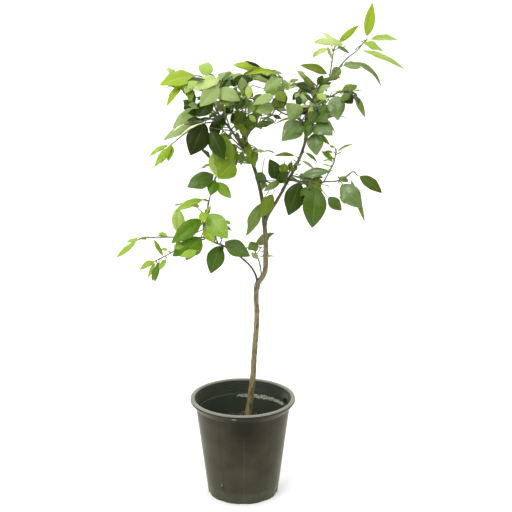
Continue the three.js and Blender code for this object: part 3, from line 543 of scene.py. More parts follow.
        "grow": (2, 40, 269, ("mid", "dark")),
    },
    "low_back": {
        "stem": [(48, -2, 580), (44, 22, 606), (36, 40, 626), (24, 52, 650)],
        "leaves": [
            (0.9, 82, 74, 676, 26, "back", "mid"),
            (0.6, 84, 62, 616, 11, "up", "grey"),
        ],
        "more": [
            (0.95, (41, 40, 659), (14, 30, 643), 29, "front", "moss", "curled"),
            (0.9, (39, 44, 650), (71, 30, 690), 21, "front", "moss"),
        ],
        "grow": (4, 36, 36, ("moss", "grey")),
        "bare": 612,
    },
    "back_left": {
        "stem": [(-18, 150, 958), (-40, 178, 988), (-68, 196, 1012)],
        "grow": (8, 60, 8, ("mid", "olive", "dark", "fresh")),
    },
    "back_middle": {
        "stem": [(6, 108, 912), (30, 150, 940), (52, 184, 975)],
        "grow": (7, 56, 32, ("mid", "dark", "olive")),
    },
    "back_low": {
        "stem": [(26, 54, 866), (8, 96, 868), (-16, 134, 862), (-30, 160, 856)],
        "grow": (5, 54, 20, ("mid", "leaf", "dark")),
    },
    "back_right": {
        "stem": [(168, 128, 985), (182, 158, 1012), (190, 182, 1040)],
        "grow": (8, 58, 24, ("mid", "olive", "fresh", "dark")),
    },
    "back_right_low": {
        "stem": [(157, 72, 938), (180, 104, 958), (206, 128, 982)],
        "grow": (6, 52, 50, ("mid", "dark", "leaf")),
    },
    "low_left_back": {
        "stem": [(-60, -67, 689), (-72, -22, 712), (-84, 26, 734)],
        "grow": (5, 50, 36, ("mid", "leaf", "fresh")),
    },
    "crown_back": {
        "stem": [(8, 50, 970), (-14, 74, 992), (-40, 92, 1016), (-66, 104, 1040)],
        "grow": (8, 50, 6, ("mid", "dark", "olive")),
    },
    "leader_back": {
        "stem": [(24, 20, 872), (2, 52, 896), (-26, 84, 918), (-52, 112, 934)],
        "grow": (7, 50, 12, ("mid", "leaf", "dark")),
    },
    "cluster_back": {
        "stem": [(154, 50, 920), (172, 44, 958), (186, 56, 994), (192, 78, 1026)],
        "grow": (8, 48, 18, ("mid", "satin", "dark")),
    },
    "pair_back": {
        "stem": [(124, -42, 840), (140, -4, 826), (156, 36, 812), (170, 74, 800)],
        "grow": (7, 50, 26, ("mid", "leaf", "dark")),
    },
}

# The rule of growth, as in the solids.
GROW_FROM = 0.2
GROW_SPREAD = math.radians(58)
GROW_DROOP = 0.3
GROW_WIDTH = 0.46
GROW_TURN_JITTER = 0.6
GROW_LENGTH_JITTER = 0.3
GROW_LIGHT = 0.7
TWIG_EVERY = 3
TWIG_LENGTH_SHARE = 0.75
TWIG_LEAF_SHARE = 0.9
LAST_ROOT = 0.97
TWIG_LEAVES = [(0.6, GROW_SPREAD), (LAST_ROOT, 0.1 * GROW_SPREAD)]
CROWN_MIDDLE_X = 45
GOLDEN_ANGLE = math.radians(137.5)
STEEP = 0.9

# The finer growth that the solids leave out: smaller leaves on short spurs between the places of the rule.
FINE_SEED = 500
FINE_LENGTH_SHARE = 0.62
SPUR_SHARE = 0.35

# Tones of leaf: upper face, under face and midrib as sRGB hex, and how much wax shines on it. Some tones hold
# painted highlights and painted shade.
LEAF_TONES = {
    "bright": ("#98B222", "#A6B94E", "#A3BA30", 0.35),
    "pale": ("#B9CB7C", "#BFCD90", "#C0D087", 0.4),
    # The glint tone is a painted highlight: nearly white, for narrow strips that stand for light glinting off
    # glossy leaf edges.
    "silver": ("#EEF3DA", "#E0E8C8", "#F0F5DE", 0.5),
    "soft": ("#A2BB58", "#AFC178", "#AAC162", 0.4),
    "young": ("#96B53A", "#ABC060", "#A1BD48", 0.4),
    "spring": ("#82A430", "#9BB658", "#8DAE3E", 0.4),
    "fresh": ("#748F1D", "#8DA242", "#7D9727", 0.22),
    "lush": ("#59800C", "#7F9C34", "#678C1A", 0.28),
    "leaf": ("#476314", "#6B8438", "#536E1C", 0.28),
    "olive": ("#6B7F1F", "#879448", "#758829", 0.2),
    "mid": ("#526E22", "#788C46", "#5C782C", 0.4),
    "satin": ("#5E7A31", "#889E59", "#6D8642", 0.95),
    "grey": ("#92A75F", "#A8B67A", "#9BAE67", 0.55),
    "moss": ("#6D823A", "#8B9B54", "#758A40", 0.35),
    # The olive tone in shade is painted shade: a darker copy of the olive tone for olive leaves that lie in
    # shade.
    "khaki": ("#4B5D11", "#6F802E", "#55681B", 0.15),
    # The dark and deep tones are the dark green of older leaves, made darker as painted shade for leaves in
    # the crown's shade.
    "dark": ("#304509", "#5C742E", "#395010", 0.17),
    "deep": ("#263408", "#4F6326", "#2F3F0E", 0.13),
}

# Forms that a leaf can take: how far it arches as a share of its length, the fold along its midrib, the
# twist towards its tip and how wavy its margin is.
LEAF_FORMS = {
    "plain": (0.1, 0.0, 0.0, 1.0),
    "hanging": (0.2, 0.1, 0.0, 1.0),
    "folded": (0.12, 0.5, 0.2, 1.0),
    "curled": (0.2, 0.3, 0.9, 1.7),
    "ragged": (0.14, 0.2, 0.4, 2.8),
}


def linear(hex_colour):
    """Turns an sRGB hex colour into the linear values that Blender's sockets take."""
    channels = [int(hex_colour[i:i + 2], 16) / 255 for i in (1, 3, 5)]
    return tuple(c / 12.92 if c <= 0.04045 else ((c + 0.055) / 1.055) ** 2.4 for c in channels)


def opaque(hex_colour):
    """The same with a full alpha, for a socket that takes four values."""
    return (*linear(hex_colour), 1.0)


def lit_through(colour):
    """The yellower and stronger green of light that has come through a leaf of this linear colour."""
    return (min(1.0, 1.5 * colour[0]), min(1.0, 1.5 * colour[1]), 0.5 * colour[2], 1.0)


def mix(a, b, share):
    return a + (b - a) * share


def smooth_step(low, high, value):
    """A share that rises gently from 0 at low to 1 at high."""
    share = min(max((value - low) / (high - low), 0.0), 1.0)
    return share * share * (3 - 2 * share)


# Large odd numbers that stir a seed, an index and a use into one, and the 32 bits that are kept of it.
STIR_SEED, STIR_INDEX, STIR_USE, STIR_AGAIN = 374761393, 668265263, 974634777, 1274126177
KEPT_BITS = 0xFFFFFFFF


def chance(seed, index, use):
    """A repeatable number from 0 to 1 for one leaf and one use, the same as in the solids."""
    mixed = (seed * STIR_SEED + index * STIR_INDEX + use * STIR_USE) & KEPT_BITS
    mixed = ((mixed ^ (mixed >> 13)) * STIR_AGAIN) & KEPT_BITS
    mixed ^= mixed >> 16
    return mixed / (KEPT_BITS + 1)


def path_point(points, t):
    """A place on the smooth path through points, with t shared evenly among their spans."""
    spans = len(points) - 1
    place = min(max(t, 0.0), 1.0) * spans
    index = min(int(place), spans - 1)
    w = place - index
    b, c = Vector(points[index][:3]), Vector(points[index + 1][:3])
    a = Vector(points[index - 1][:3]) if index > 0 else 2 * b - c
    d = Vector(points[index + 2][:3]) if index + 2 <= spans else 2 * c - b
    start, finish = (c - a) / 2, (d - b) / 2
    return ((2 * b - 2 * c + start + finish) * w ** 3 + (3 * c - 3 * b - 2 * start - finish) * w ** 2
            + start * w + b)


def path_tangent(points, t):
    """The direction of the same path at t, from two places close to it."""
    step = 0.0001
    return (path_point(points, min(t + step, 1)) - path_point(points, max(t - step, 0))).normalized()


def side_of(along, turn):
    """The side of a path at an angle round it, square to its direction."""
    aside = Vector((1, 0, 0)) if abs(along.z) > STEEP else Vector((0, 0, 1))
    first = aside.cross(along).normalized()
    return first * math.cos(turn) + along.cross(first) * math.sin(turn)


def leaving(along, turn, spread):
    """The direction in which something leaves a path, spread away from it on one side."""
    return along * math.cos(spread) + side_of(along, turn) * math.sin(spread)


def carried(across, along):
    """A direction square to a path, carried on along it without a turn, or the first where there is none."""
    if across is None:
        return side_of(along, 0)
    return (across - along * across.dot(along)).normalized()


def set_leaf(root, tip, width, facing, form="plain"):
    """A leaf given in the tables, with its facing and its form by name."""
    return {"root": Vector(root), "tip": Vector(tip), "width": width, "facing": Vector(FACING[facing]),
            "form": form}


def grown_leaf(root, direction, length):
    """A leaf that hangs a little from the direction in which it leaves, and looks up and out of the crown."""
    hanging = (direction - Vector((0, 0, GROW_DROOP))).normalized()
    tip = root + hanging * length
    outward = Vector((tip.x - CROWN_MIDDLE_X, tip.y, 0)).normalized()
    facing = outward * GROW_LIGHT + Vector((0, 0, 1))
    return {"root": root, "tip": tip, "width": length * GROW_WIDTH, "facing": facing, "form": "plain"}


def growth(stem, count, length, seed):
    """The side twigs and leaves that grow on a stem by the rule of the solids."""
    twigs = []
    leaves = []
    for i in range(count):
        t = GROW_FROM + (1 - GROW_FROM) * (i + 0.5) / count
        along = path_tangent(stem, t)
        root = path_point(stem, t)
        turn = seed + i * GOLDEN_ANGLE + GROW_TURN_JITTER * (chance(seed, i, 1) - 0.5)
        size = length * (1 + GROW_LENGTH_JITTER * (chance(seed, i, 2) - 0.5))
        direction = leaving(along, turn, GROW_SPREAD)
        if i % TWIG_EVERY != TWIG_EVERY - 1:
            leaves.append(grown_leaf(root, direction, size))
            continue
        end = root + direction * (size * TWIG_LENGTH_SHARE)
        own = []
        for j, (at, spread) in enumerate(TWIG_LEAVES):
            side = leaving(direction, turn + j * GOLDEN_ANGLE, spread)
            own.append(grown_leaf(root.lerp(end, at), side, size * TWIG_LEAF_SHARE))
        twigs.append({"root": root, "end": end, "leaves": own})
    return twigs, leaves


def finer_growth(stem, count, length, seed):
    """Short spurs between the places of the coarse growth, each with a small leaf at its tip."""
    spurs = []
    fine_seed = seed + FINE_SEED
    for i in range(1, count):
        t = GROW_FROM + (1 - GROW_FROM) * i / count
        turn = fine_seed + i * GOLDEN_ANGLE + GROW_TURN_JITTER * (chance(fine_seed, i, 1) - 0.5)
        size = length * FINE_LENGTH_SHARE * (1 + GROW_LENGTH_JITTER * (chance(fine_seed, i, 2) - 0.5))
        direction = leaving(path_tangent(stem, t), turn, GROW_SPREAD)
        root = path_point(stem, t)
        end = root + direction * (size * SPUR_SHARE)
        spurs.append({"root": root, "end": end, "leaves": [grown_leaf(end, direction, size)]})
    return spurs


class Shape:
    """The vertices, faces, material places and leaf coordinates of one joined mesh, in millimetres."""

    def __init__(self):
        self.vertices = []
        self.faces = []
        self.places = []
        self.marks = []

    def add(self, vertices, faces, place=0, marks=None):
        start = len(self.vertices)
        self.vertices.extend(vertices)
        self.marks.extend(marks or [(0.0, 0.5)] * len(vertices))
        self.faces.extend(tuple(start + corner for corner in face) for face in faces)
        self.places.extend(place if isinstance(place, list) else [place] * len(faces))


def make_piece(name, shape, materials, replaced=()):
    """Makes one visible piece of a shape. It rides on the plant's only body."""
    mesh = bpy.data.meshes.new(name)
    mesh.from_pydata([v * MM for v in shape.vertices], [], shape.faces)
    for material in materials:
        mesh.materials.append(material)
    mesh.polygons.foreach_set("material_index", shape.places)
    mesh.polygons.foreach_set("use_smooth", [True] * len(shape.faces))
    layer = mesh.uv_layers.new(name="leaf")
    corners = [0] * len(mesh.loops)
    mesh.loops.foreach_get("vertex_index", corners)
    layer.data.foreach_set("uv", [value for corner in corners for value in shape.marks[corner]])
    mesh.update()
    piece = bpy.data.objects.new(name, mesh)
    bpy.context.scene.collection.objects.link(piece)
    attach(piece, BODY)
    if replaced:
        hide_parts(*replaced)
    return piece


def add_node(tree, kind, inputs=None, **settings):
    """Adds a shader node with its settings. Each input gets a value, or a link from an output or a node."""
    node = tree.nodes.new("ShaderNode" + kind)
    for name, value in settings.items():
        setattr(node, name, value)
    for name, value in (inputs or {}).items():
        if isinstance(value, bpy.types.Node):
            value = next(socket for socket in value.outputs if socket.enabled)
        if isinstance(value, bpy.types.NodeSocket):
            tree.links.new(value, node.inputs[name])
        else:
            node.inputs[name].default_value = value
    return node


def new_material(name):
    """A material with nothing in it but its output."""
    material = bpy.data.materials.new(name)
    material.use_nodes = True
    tree = material.node_tree
    tree.nodes.clear()
    return material, tree, add_node(tree, "OutputMaterial")


def per_mm(size):
    """The scale of a pattern whose cells are that many millimetres across."""
    return 1 / (size * MM)


# The inputs of a colour mix: its share and its two colours.
SHARE, FIRST, SECOND = 0, 6, 7

# How much rain streaks and dust show on the pot, and how high its foot is faded.
STREAK_SHARE = 0.25
DUST_SHEEN = 0.3
FOOT_FADE = 34.0


def moulded_polypropylene(name, settings, colour, marks=(), seams=()):
    """Black polypropylene, injection moulded and years outdoors: a dull satin skin faded to olive, with soft
    waves that blur what it mirrors, rain streaks, scuffs, a film of dust that pales its edges, and marks at
    known places, most of which are painted shade and painted highlights."""
    material, tree, output = new_material(name)
    place = add_node(tree, "TexCoord").outputs["Object"]
    axes = add_node(tree, "SeparateXYZ", {"Vector": place})
    tall = add_node(tree, "Mapping", {"Vector": place, "Scale": (1, 1, 0.12)})
    faded = add_node(tree, "TexNoise", {"Vector": place, "Scale": per_mm(55), "Detail": 2.0})
    streak = add_node(tree, "TexNoise", {"Vector": tall, "Scale": per_mm(7), "Detail": 3.0})
    scuff = add_node(tree, "TexNoise", {"Vector": place, "Scale": per_mm(3.5), "Detail": 5.0})
    streaked = add_node(tree, "MapRange", {"Value": streak, "To Max": STREAK_SHARE})
    both = add_node(tree, "Math", {0: faded, 1: streaked}, operation="ADD")
    foot = add_node(tree, "MapRange", {
        "Value": axes.outputs["Z"], "From Min": 0.6 * FOOT_FADE * MM, "From Max": FOOT_FADE * MM,
        "To Min": 0.45, "To Max": 0.0})
    blotch = add_node(tree, "MapRange", {"Value": both, "From Min": 0.45, "From Max": 0.85, "To Max": 0.35})
    splash = add_node(tree, "MapRange", {
        "Value": axes.outputs["Z"], "From Max": 0.2, "To Min": 0.24, "To Max": 0.0})
    dusty = add_node(tree, "Math", {0: splash, 1: foot}, operation="ADD")
    uneven = add_node(tree, "Math", {0: blotch, 1: dusty}, operation="ADD")
    base = add_node(tree, "Mix", {
        SHARE: uneven, FIRST: (*colour, 1), SECOND: (*settings.faded, 1)}, data_type="RGBA")
    worn = add_node(tree, "MapRange", {"Value": scuff, "From Min": 0.66, "From Max": 0.74, "To Max": 0.35})
    tint = add_node(tree, "Mix", {SHARE: worn, FIRST: base, SECOND: (*settings.scuff, 1)}, data_type="RGBA")
    ratio = add_node(tree, "Math", {0: axes.outputs["X"], 1: axes.outputs["Y"]}, operation="DIVIDE")
    for angle, strength, seam_colour in seams:
        away = add_node(tree, "Math", {0: ratio, 1: math.tan(math.radians(angle))}, operation="ADD")
        near = add_node(tree, "Math", {0: away}, operation="ABSOLUTE")
        line = add_node(tree, "MapRange", {
            "Value": near, "From Max": 0.02, "To Min": strength, "To Max": 0.0})
        tint = add_node(tree, "Mix", {
            SHARE: line, FIRST: tint, SECOND: opaque(seam_colour)}, data_type="RGBA")
    # Marks at known places, most of them painted shade and painted highlights: each a soft spot of its
    # colour.
    for centre, size, whole, strength, mark_colour in marks:
        scale = tuple(per_mm(s) for s in size)
        shift = tuple(-c / s for c, s in zip(centre, size))
        sized = add_node(tree, "Mapping", {"Vector": place, "Scale": scale, "Location": shift})
        away = add_node(tree, "VectorMath", {0: sized}, operation="LENGTH")
        spot = add_node(tree, "MapRange", {
            "Value": away, "From Min": whole, "From Max": 1.0, "To Min": strength,
            "To Max": 0.0}, interpolation_type="SMOOTHSTEP")
        tint = add_node(tree, "Mix", {
            SHARE: spot, FIRST: tint, SECOND: opaque(mark_colour)}, data_type="RGBA")
    waves = add_node(tree, "TexNoise", {"Vector": tall, "Scale": per_mm(30), "Detail": 1.0})
    swell = add_node(tree, "Bump", {"Height": waves, "Distance": 1.2 * MM, "Strength": 0.7})
    skin = add_node(tree, "Bump", {
        "Height": scuff, "Distance": 0.12 * MM, "Strength": 0.5, "Normal": swell})
    shader = add_node(tree, "BsdfPrincipled", {
        "Base Color": tint, "IOR": 1.49, "Roughness": settings.roughness, "Specular IOR Level": 0.14,
        "Sheen Weight": DUST_SHEEN, "Sheen Roughness": 0.3, "Sheen Tint": (*settings.dust, 1),
        "Normal": skin})
    tree.links.new(shader.outputs["BSDF"], output.inputs["Surface"])
    return material


def young_citrus_bark(name, settings, low_colour, high_colour):
    """Smooth bark of a young citrus: matt, streaked along the limb, warm and pale near the ground, and
    greener and greyer higher up where it still has its waxy skin."""
    material, tree, output = new_material(name)
    place = add_node(tree, "TexCoord").outputs["Object"]
    axes = add_node(tree, "SeparateXYZ", {"Vector": place})
    tall = add_node(tree, "Mapping", {"Vector": place, "Scale": (1, 1, 0.35)})
    streak = add_node(tree, "TexNoise", {"Vector": tall, "Scale": per_mm(6), "Detail": 4.0})
    patch = add_node(tree, "TexNoise", {"Vector": place, "Scale": per_mm(22), "Detail": 2.0})
    fine = add_node(tree, "TexNoise", {"Vector": tall, "Scale": per_mm(0.8), "Detail": 3.0})
    rise = add_node(tree, "MapRange", {
        "Value": axes.outputs["Z"], "From Min": settings.low_end, "From Max": settings.high_start})
    wood = add_node(tree, "Mix", {
        SHARE: rise, FIRST: (*low_colour, 1), SECOND: (*high_colour, 1)}, data_type="RGBA")
    dark = add_node(tree, "MapRange", {"Value": streak, "From Min": 0.47, "From Max": 0.66, "To Max": 0.85})
    ridged = add_node(tree, "Mix", {
        SHARE: dark, FIRST: wood, SECOND: (*settings.crack, 1)}, data_type="RGBA")
    mossy = add_node(tree, "MapRange", {"Value": patch, "From Min": 0.42, "From Max": 0.66, "To Max": 0.55})
    tint = add_node(tree, "Mix", {
        SHARE: mossy, FIRST: ridged, SECOND: (*settings.green, 1)}, data_type="RGBA")
    bump = add_node(tree, "Bump", {"Height": fine, "Distance": 0.3 * MM, "Strength": 0.6})
    shader = add_node(tree, "BsdfPrincipled", {
        "Base Color": tint, "IOR": 1.45, "Roughness": 0.72, "Normal": bump})
    tree.links.new(shader.outputs["BSDF"], output.inputs["Surface"])
    return material


def granular(name, colour, dark, grain_size, roughness, depth):
    """A crumbly or gritty stuff, such as potting mix, bark chip, pumice or limescale: dull grains, each of
    its own tone, with dark gaps between them."""
    material, tree, output = new_material(name)
    place = add_node(tree, "TexCoord").outputs["Object"]
    grain = add_node(tree, "TexVoronoi", {"Vector": place, "Scale": per_mm(grain_size)})
    patch = add_node(tree, "TexNoise", {"Vector": place, "Scale": per_mm(4 * grain_size), "Detail": 4.0})
    tone = add_node(tree, "SeparateXYZ", {"Vector": grain.outputs["Color"]})
    both = add_node(tree, "Math", {0: tone.outputs["X"], 1: patch}, operation="MULTIPLY")
    share = add_node(tree, "MapRange", {"Value": both, "From Min": 0.1, "From Max": 0.5})
    tint = add_node(tree, "Mix", {SHARE: share, FIRST: (*dark, 1), SECOND: (*colour, 1)}, data_type="RGBA")
    bump = add_node(tree, "Bump", {"Height": patch, "Distance": depth * MM, "Strength": 0.8})
    shader = add_node(tree, "BsdfPrincipled", {
        "Base Color": tint, "IOR": 1.45, "Roughness": roughness, "Normal": bump})
    tree.links.new(shader.outputs["BSDF"], output.inputs["Surface"])
    return material


# How a leaf's under face and its coat of wax differ from its upper face, and how its side veins run.
UNDER_ROUGHNESS = 0.65
UNDER_WAX = 0.6
COAT_SHARE = 0.4
COAT_ROUGHNESS = 0.38
VEIN_PAIRS = 9.0
VEIN_SLANT = 2.6


def citrus_leaf(name, settings, colour, vein_colour, roughness, wax):
    """A citrus leaf's skin: a waxy film that shines softly above and is dull below, mottled, quilted between
    paler side veins, and a little lit through by the light behind it."""
    material, tree, output = new_material(name)
    place = add_node(tree, "TexCoord").outputs["Object"]
    mottle = add_node(tree, "TexNoise", {"Vector": place, "Scale": per_mm(9), "Detail": 3.0})
    blade = add_node(tree, "UVMap", uv_map="leaf")
    axes = add_node(tree, "SeparateXYZ", {"Vector": blade})
    aside = add_node(tree, "Math", {0: axes.outputs["Y"], 1: 0.5}, operation="SUBTRACT")
    out = add_node(tree, "Math", {0: aside}, operation="ABSOLUTE")
    slant = add_node(tree, "Math", {0: out, 1: VEIN_SLANT}, operation="MULTIPLY")
    steps = add_node(tree, "Math", {0: axes.outputs["X"], 1: VEIN_PAIRS}, operation="MULTIPLY")
    phase = add_node(tree, "Math", {0: steps, 1: slant}, operation="SUBTRACT")
    part = add_node(tree, "Math", {0: phase, 1: 0.5}, operation="PINGPONG")
    vein = add_node(tree, "MapRange", {"Value": part, "From Max": 0.09, "To Min": 0.35, "To Max": 0.0})
    uneven = add_node(tree, "MapRange", {
        "Value": mottle, "From Min": 0.35, "From Max": 0.7, "To Max": 0.25})
    base = add_node(tree, "Mix", {
        SHARE: uneven, FIRST: (*colour, 1), SECOND: (*vein_colour, 1)}, data_type="RGBA")
    tint = add_node(tree, "Mix", {SHARE: vein, FIRST: base, SECOND: (*vein_colour, 1)}, data_type="RGBA")
    quilt = add_node(tree, "Bump", {"Height": part, "Distance": 0.8 * MM, "Strength": 0.5})
    shader = add_node(tree, "BsdfPrincipled", {
        "Base Color": tint, "IOR": 1.45, "Roughness": roughness, "Specular IOR Level": wax,
        "Coat Weight": COAT_SHARE * wax, "Coat IOR": 1.45, "Coat Roughness": COAT_ROUGHNESS,
        "Normal": quilt})
    through = add_node(tree, "BsdfTranslucent", {"Color": lit_through(colour)})
    lit = add_node(tree, "MixShader", {0: settings.translucency, 1: shader, 2: through})
    tree.links.new(lit.outputs["Shader"], output.inputs["Surface"])
    return material


def green_rind(name, colour, dark):
    """The tender rind of midribs, stalks and this year's twigs: smooth, firm and a little shiny."""
    material, tree, output = new_material(name)
    place = add_node(tree, "TexCoord").outputs["Object"]
    mottle = add_node(tree, "TexNoise", {"Vector": place, "Scale": per_mm(6), "Detail": 3.0})
    share = add_node(tree, "MapRange", {"Value": mottle, "From Min": 0.4, "From Max": 0.7, "To Max": 0.6})
    tint = add_node(tree, "Mix", {SHARE: share, FIRST: (*colour, 1), SECOND: (*dark, 1)}, data_type="RGBA")
    shader = add_node(tree, "BsdfPrincipled", {"Base Color": tint, "IOR": 1.45, "Roughness": 0.48})
    tree.links.new(shader.outputs["BSDF"], output.inputs["Surface"])
    return material


# A leaf's mesh: rows along the blade and columns across it, with a narrow column for the midrib.
BLADE_ROWS = 13
BLADE_COLUMNS = (-1.0, -0.72, -0.38, -0.035, 0.035, 0.38, 0.72, 1.0)
RIB_COLUMN = 3
BLADE_THICKNESS = 0.32
RIB_GROOVE = 0.22
RIB_HEIGHT = 0.55
RIB_TAPER = 0.6
UPPER, UNDER, RIB = 0, 1, 2

# How a blade bends: the fold along its midrib, of which a narrow young leaf has more, and how much of it the
# margin takes back, the roll of the margin, the twist, and the height and the number of the margin's waves.
BEND_DRAW = 3
LEAF_FOLD = (0.1, 0.42)
YOUNG_FOLD = 0.15
YOUNG_WIDTH = 0.4
FOLD_EASE = 0.8
LEAF_ROLL = (-0.15, 0.4)
LEAF_TWIST = 0.35
TWIST_FROM = 0.2
LEAF_WAVE = (0.02, 0.07)
LEAF_RIPPLES = (1.6, 3.2)
FAR_SIDE_PHASE = 1.9

# A leaf's stalk: its share of the leaf's length, its sizes, and its radii from the root to the midrib.
STALK_SHARE = 0.11
STALK_RADIUS = 0.8
STALK_LEAST = 0.25
STALK_PER_LENGTH = 0.014
STALK_ARCH = 0.01
STALK_SINK = 0.3
STALK_TAPER = (1.25, 1.0, 1.0, 0.95, 0.9, 0.4)
STALK_SIDES = 6


def blade_width(share):
    """A lemon leaf's half width along the blade: elliptic, widest before the middle, with a drawn-out tip."""
    return math.sin(math.pi * share ** 0.88) ** 0.82 * (1 - 0.18 * share ** 5)


def tube_faces(rings, sides):
    """The faces of a tube of that many rings, with its two ends closed."""
    faces = []
    for i in range(rings - 1):
        for k in range(sides):
            after = (k + 1) % sides
            faces.append((i * sides + k, i * sides + after, (i + 1) * sides + after, (i + 1) * sides + k))
    faces.append(tuple(reversed(range(sides))))
    faces.append(tuple((rings - 1) * sides + k for k in range(sides)))
    return faces


def tube(shape, points, radii, sides, place=0):
    """Adds a round tube through points, closed at both ends, to a shape."""
    last = len(points) - 1
    vertices = []
    across = None
    for i, point in enumerate(points):
        along = (points[min(i + 1, last)] - points[max(i - 1, 0)]).normalized()
        across = carried(across, along)
        up = along.cross(across)
        for k in range(sides):
            angle = math.tau * k / sides
            vertices.append(point + (across * math.cos(angle) + up * math.sin(angle)) * radii[i])
    shape.add(vertices, tube_faces(len(points), sides), place)


def blade_grid(leaf, seed):
    """Middle places, sideways and upward directions and half widths along a leaf, and its own bends."""
    whole = leaf["tip"] - leaf["root"]
    length = whole.length
    along = whole.normalized()
    up = (leaf["facing"] - along * leaf["facing"].dot(along)).normalized()
    across = along.cross(up)
    young = leaf["width"] < YOUNG_WIDTH * length
    arch, folded, twisted, wavy = LEAF_FORMS[leaf["form"]]
    fold = mix(*LEAF_FOLD, chance(seed, BEND_DRAW, 1)) + (YOUNG_FOLD if young else 0.0) + folded
    roll = mix(*LEAF_ROLL, chance(seed, BEND_DRAW, 2))
    twist = mix(-LEAF_TWIST, LEAF_TWIST, chance(seed, BEND_DRAW, 3))
    twist += math.copysign(twisted, twist)
    wave = mix(*LEAF_WAVE, chance(seed, BEND_DRAW, 4)) * wavy * leaf["width"]
    ripples = mix(*LEAF_RIPPLES, chance(seed, BEND_DRAW, 5))
    phase = math.tau * chance(seed, BEND_DRAW, 6)
    rows = []
    for i in range(BLADE_ROWS + 1):
        share = i / BLADE_ROWS
        place = mix(STALK_SHARE, 1.0, share)
        middle = leaf["root"] + whole * place + up * (arch * length * 4 * place * (1 - place))
        slope = arch * 4 * (1 - 2 * place)
        turn = twist * (share - TWIST_FROM) * share
        normal = (up - along * slope).normalized()
        side = (across * math.cos(turn) + normal * math.sin(turn)).normalized()
        normal = (normal * math.cos(turn) - across * math.sin(turn)).normalized()
        half = leaf["width"] / 2 * blade_width(share) if 0 < i < BLADE_ROWS else 0.0
        row = []
        for v in BLADE_COLUMNS:
            out = abs(v)
            lift = half * (fold * out - (fold * FOLD_EASE + roll) * out * out)
            swing = math.tau * ripples * share + phase + (FAR_SIDE_PHASE if v > 0 else 0)
            ripple = wave * out ** 3 * math.sin(swing) * math.sin(math.pi * share)
            row.append(middle + side * (half * v) + normal * (lift + ripple))
        rows.append((row, normal, share))
    return rows


def add_leaf(shape, leaf, seed):
    """Adds one leaf: an upper and a lower skin that meet at the margin, a raised rib below, and the stalk."""
    rows = blade_grid(leaf, seed)
    last = len(BLADE_COLUMNS) - 1
    vertices = [rows[0][0][0], rows[-1][0][0]] * 2
    marks = [(0.0, 0.5), (1.0, 0.5)] * 2
    upper = []
    lower = []
    for row, normal, share in rows[1:-1]:
        above = []
        below = []
        for j, point in enumerate(row):
            on_rib = j in (RIB_COLUMN, RIB_COLUMN + 1)
            groove = RIB_GROOVE if on_rib else 0.0
            depth = BLADE_THICKNESS if 0 < j < last else 0.0
            rib = RIB_HEIGHT * (1 - RIB_TAPER * share) if on_rib else 0.0
            above.append(len(vertices))
            below.append(len(vertices) + 1)
            vertices.extend([point - normal * groove, point - normal * (depth + rib)])
            marks.extend([(share, BLADE_COLUMNS[j] / 2 + 0.5)] * 2)
        upper.append(above)
        lower.append(below)
    faces = []
    places = []
    for j in range(last):
        above_place, below_place = (RIB, RIB) if j == RIB_COLUMN else (UPPER, UNDER)
        for i in range(len(upper) - 1):
            a, b, c, d = upper[i][j], upper[i][j + 1], upper[i + 1][j + 1], upper[i + 1][j]
            faces.extend([(a, b, c), (a, c, d)])
            a, b, c, d = lower[i][j], lower[i][j + 1], lower[i + 1][j + 1], lower[i + 1][j]
            faces.extend([(a, c, b), (a, d, c)])
            places.extend([above_place, above_place, below_place, below_place])
        faces.extend([(0, upper[0][j + 1], upper[0][j]), (1, upper[-1][j], upper[-1][j + 1])])
        faces.extend([(2, lower[0][j], lower[0][j + 1]), (3, lower[-1][j + 1], lower[-1][j])])
        places.extend([above_place, above_place, below_place, below_place])
    shape.add(vertices, faces, places, marks)
    add_stalk(shape, leaf, rows)


def add_stalk(shape, leaf, rows):
    """Adds the stalk of a leaf, from its root through the blade's foot to just under the midrib."""
    length = (leaf["tip"] - leaf["root"]).length
    radius = min(STALK_RADIUS, length * STALK_PER_LENGTH + STALK_LEAST)
    foot, up, _ = rows[0]
    spans = len(STALK_TAPER) - 2
    stalk = []
    for k in range(spans + 1):
        rise = length * STALK_ARCH * math.sin(math.pi * k / spans)
        stalk.append(leaf["root"].lerp(foot[0], k / spans) + up * rise)
    rib = rows[1][0]
    stalk.append(rib[RIB_COLUMN].lerp(rib[RIB_COLUMN + 1], 0.5) - up * STALK_SINK)
    tube(shape, stalk, [radius * share for share in STALK_TAPER], STALK_SIDES, RIB)


def leaf_tree(leaf, seed):
    """A leaf's middle surface, for telling whether it runs through another."""
    rows = blade_grid(leaf, seed)
    vertices = [point for row, _, _ in rows for point in row[::2]]
    width = len(rows[0][0][::2])
    faces = [(i * width + j, i * width + j + 1, (i + 1) * width + j + 1, (i + 1) * width + j)
             for i in range(1, len(rows) - 2) for j in range(width - 1)]
    low = Vector([min(v[k] for v in vertices) for k in range(3)])
    high = Vector([max(v[k] for v in vertices) for k in range(3)])
    return BVHTree.FromPolygons(vertices, faces), low, high


def runs_through(test, others):
    """Whether a leaf crosses any of the others, which are looked at only where their boxes meet."""
    surface, low, high = test
    for other, other_low, other_high in others:
        if all(low[k] <= other_high[k] and other_low[k] <= high[k] for k in range(3)):
            if surface.overlap(other):
                return True
    return False


# Stems: their radii, their rings, how uneven they are, their pointed end, and the knuckles under the leaves.
STEM_FOOT = 2.0
STEM_TIP = 1.3
SIDE_TIP = 1.0
STEM_RING_STEP = 3.0
STEM_SIDES = 8
STEM_UNEVEN = 0.16
STEM_UNEVEN_LENGTH = 14
STEM_END_LENGTH = 2.2
STEM_END_TAPER = (1.1, 0.35)
KNUCKLE_SWELL = 0.3
KNUCKLE_MOST = 1.2
KNUCKLE_LENGTH = 2.2

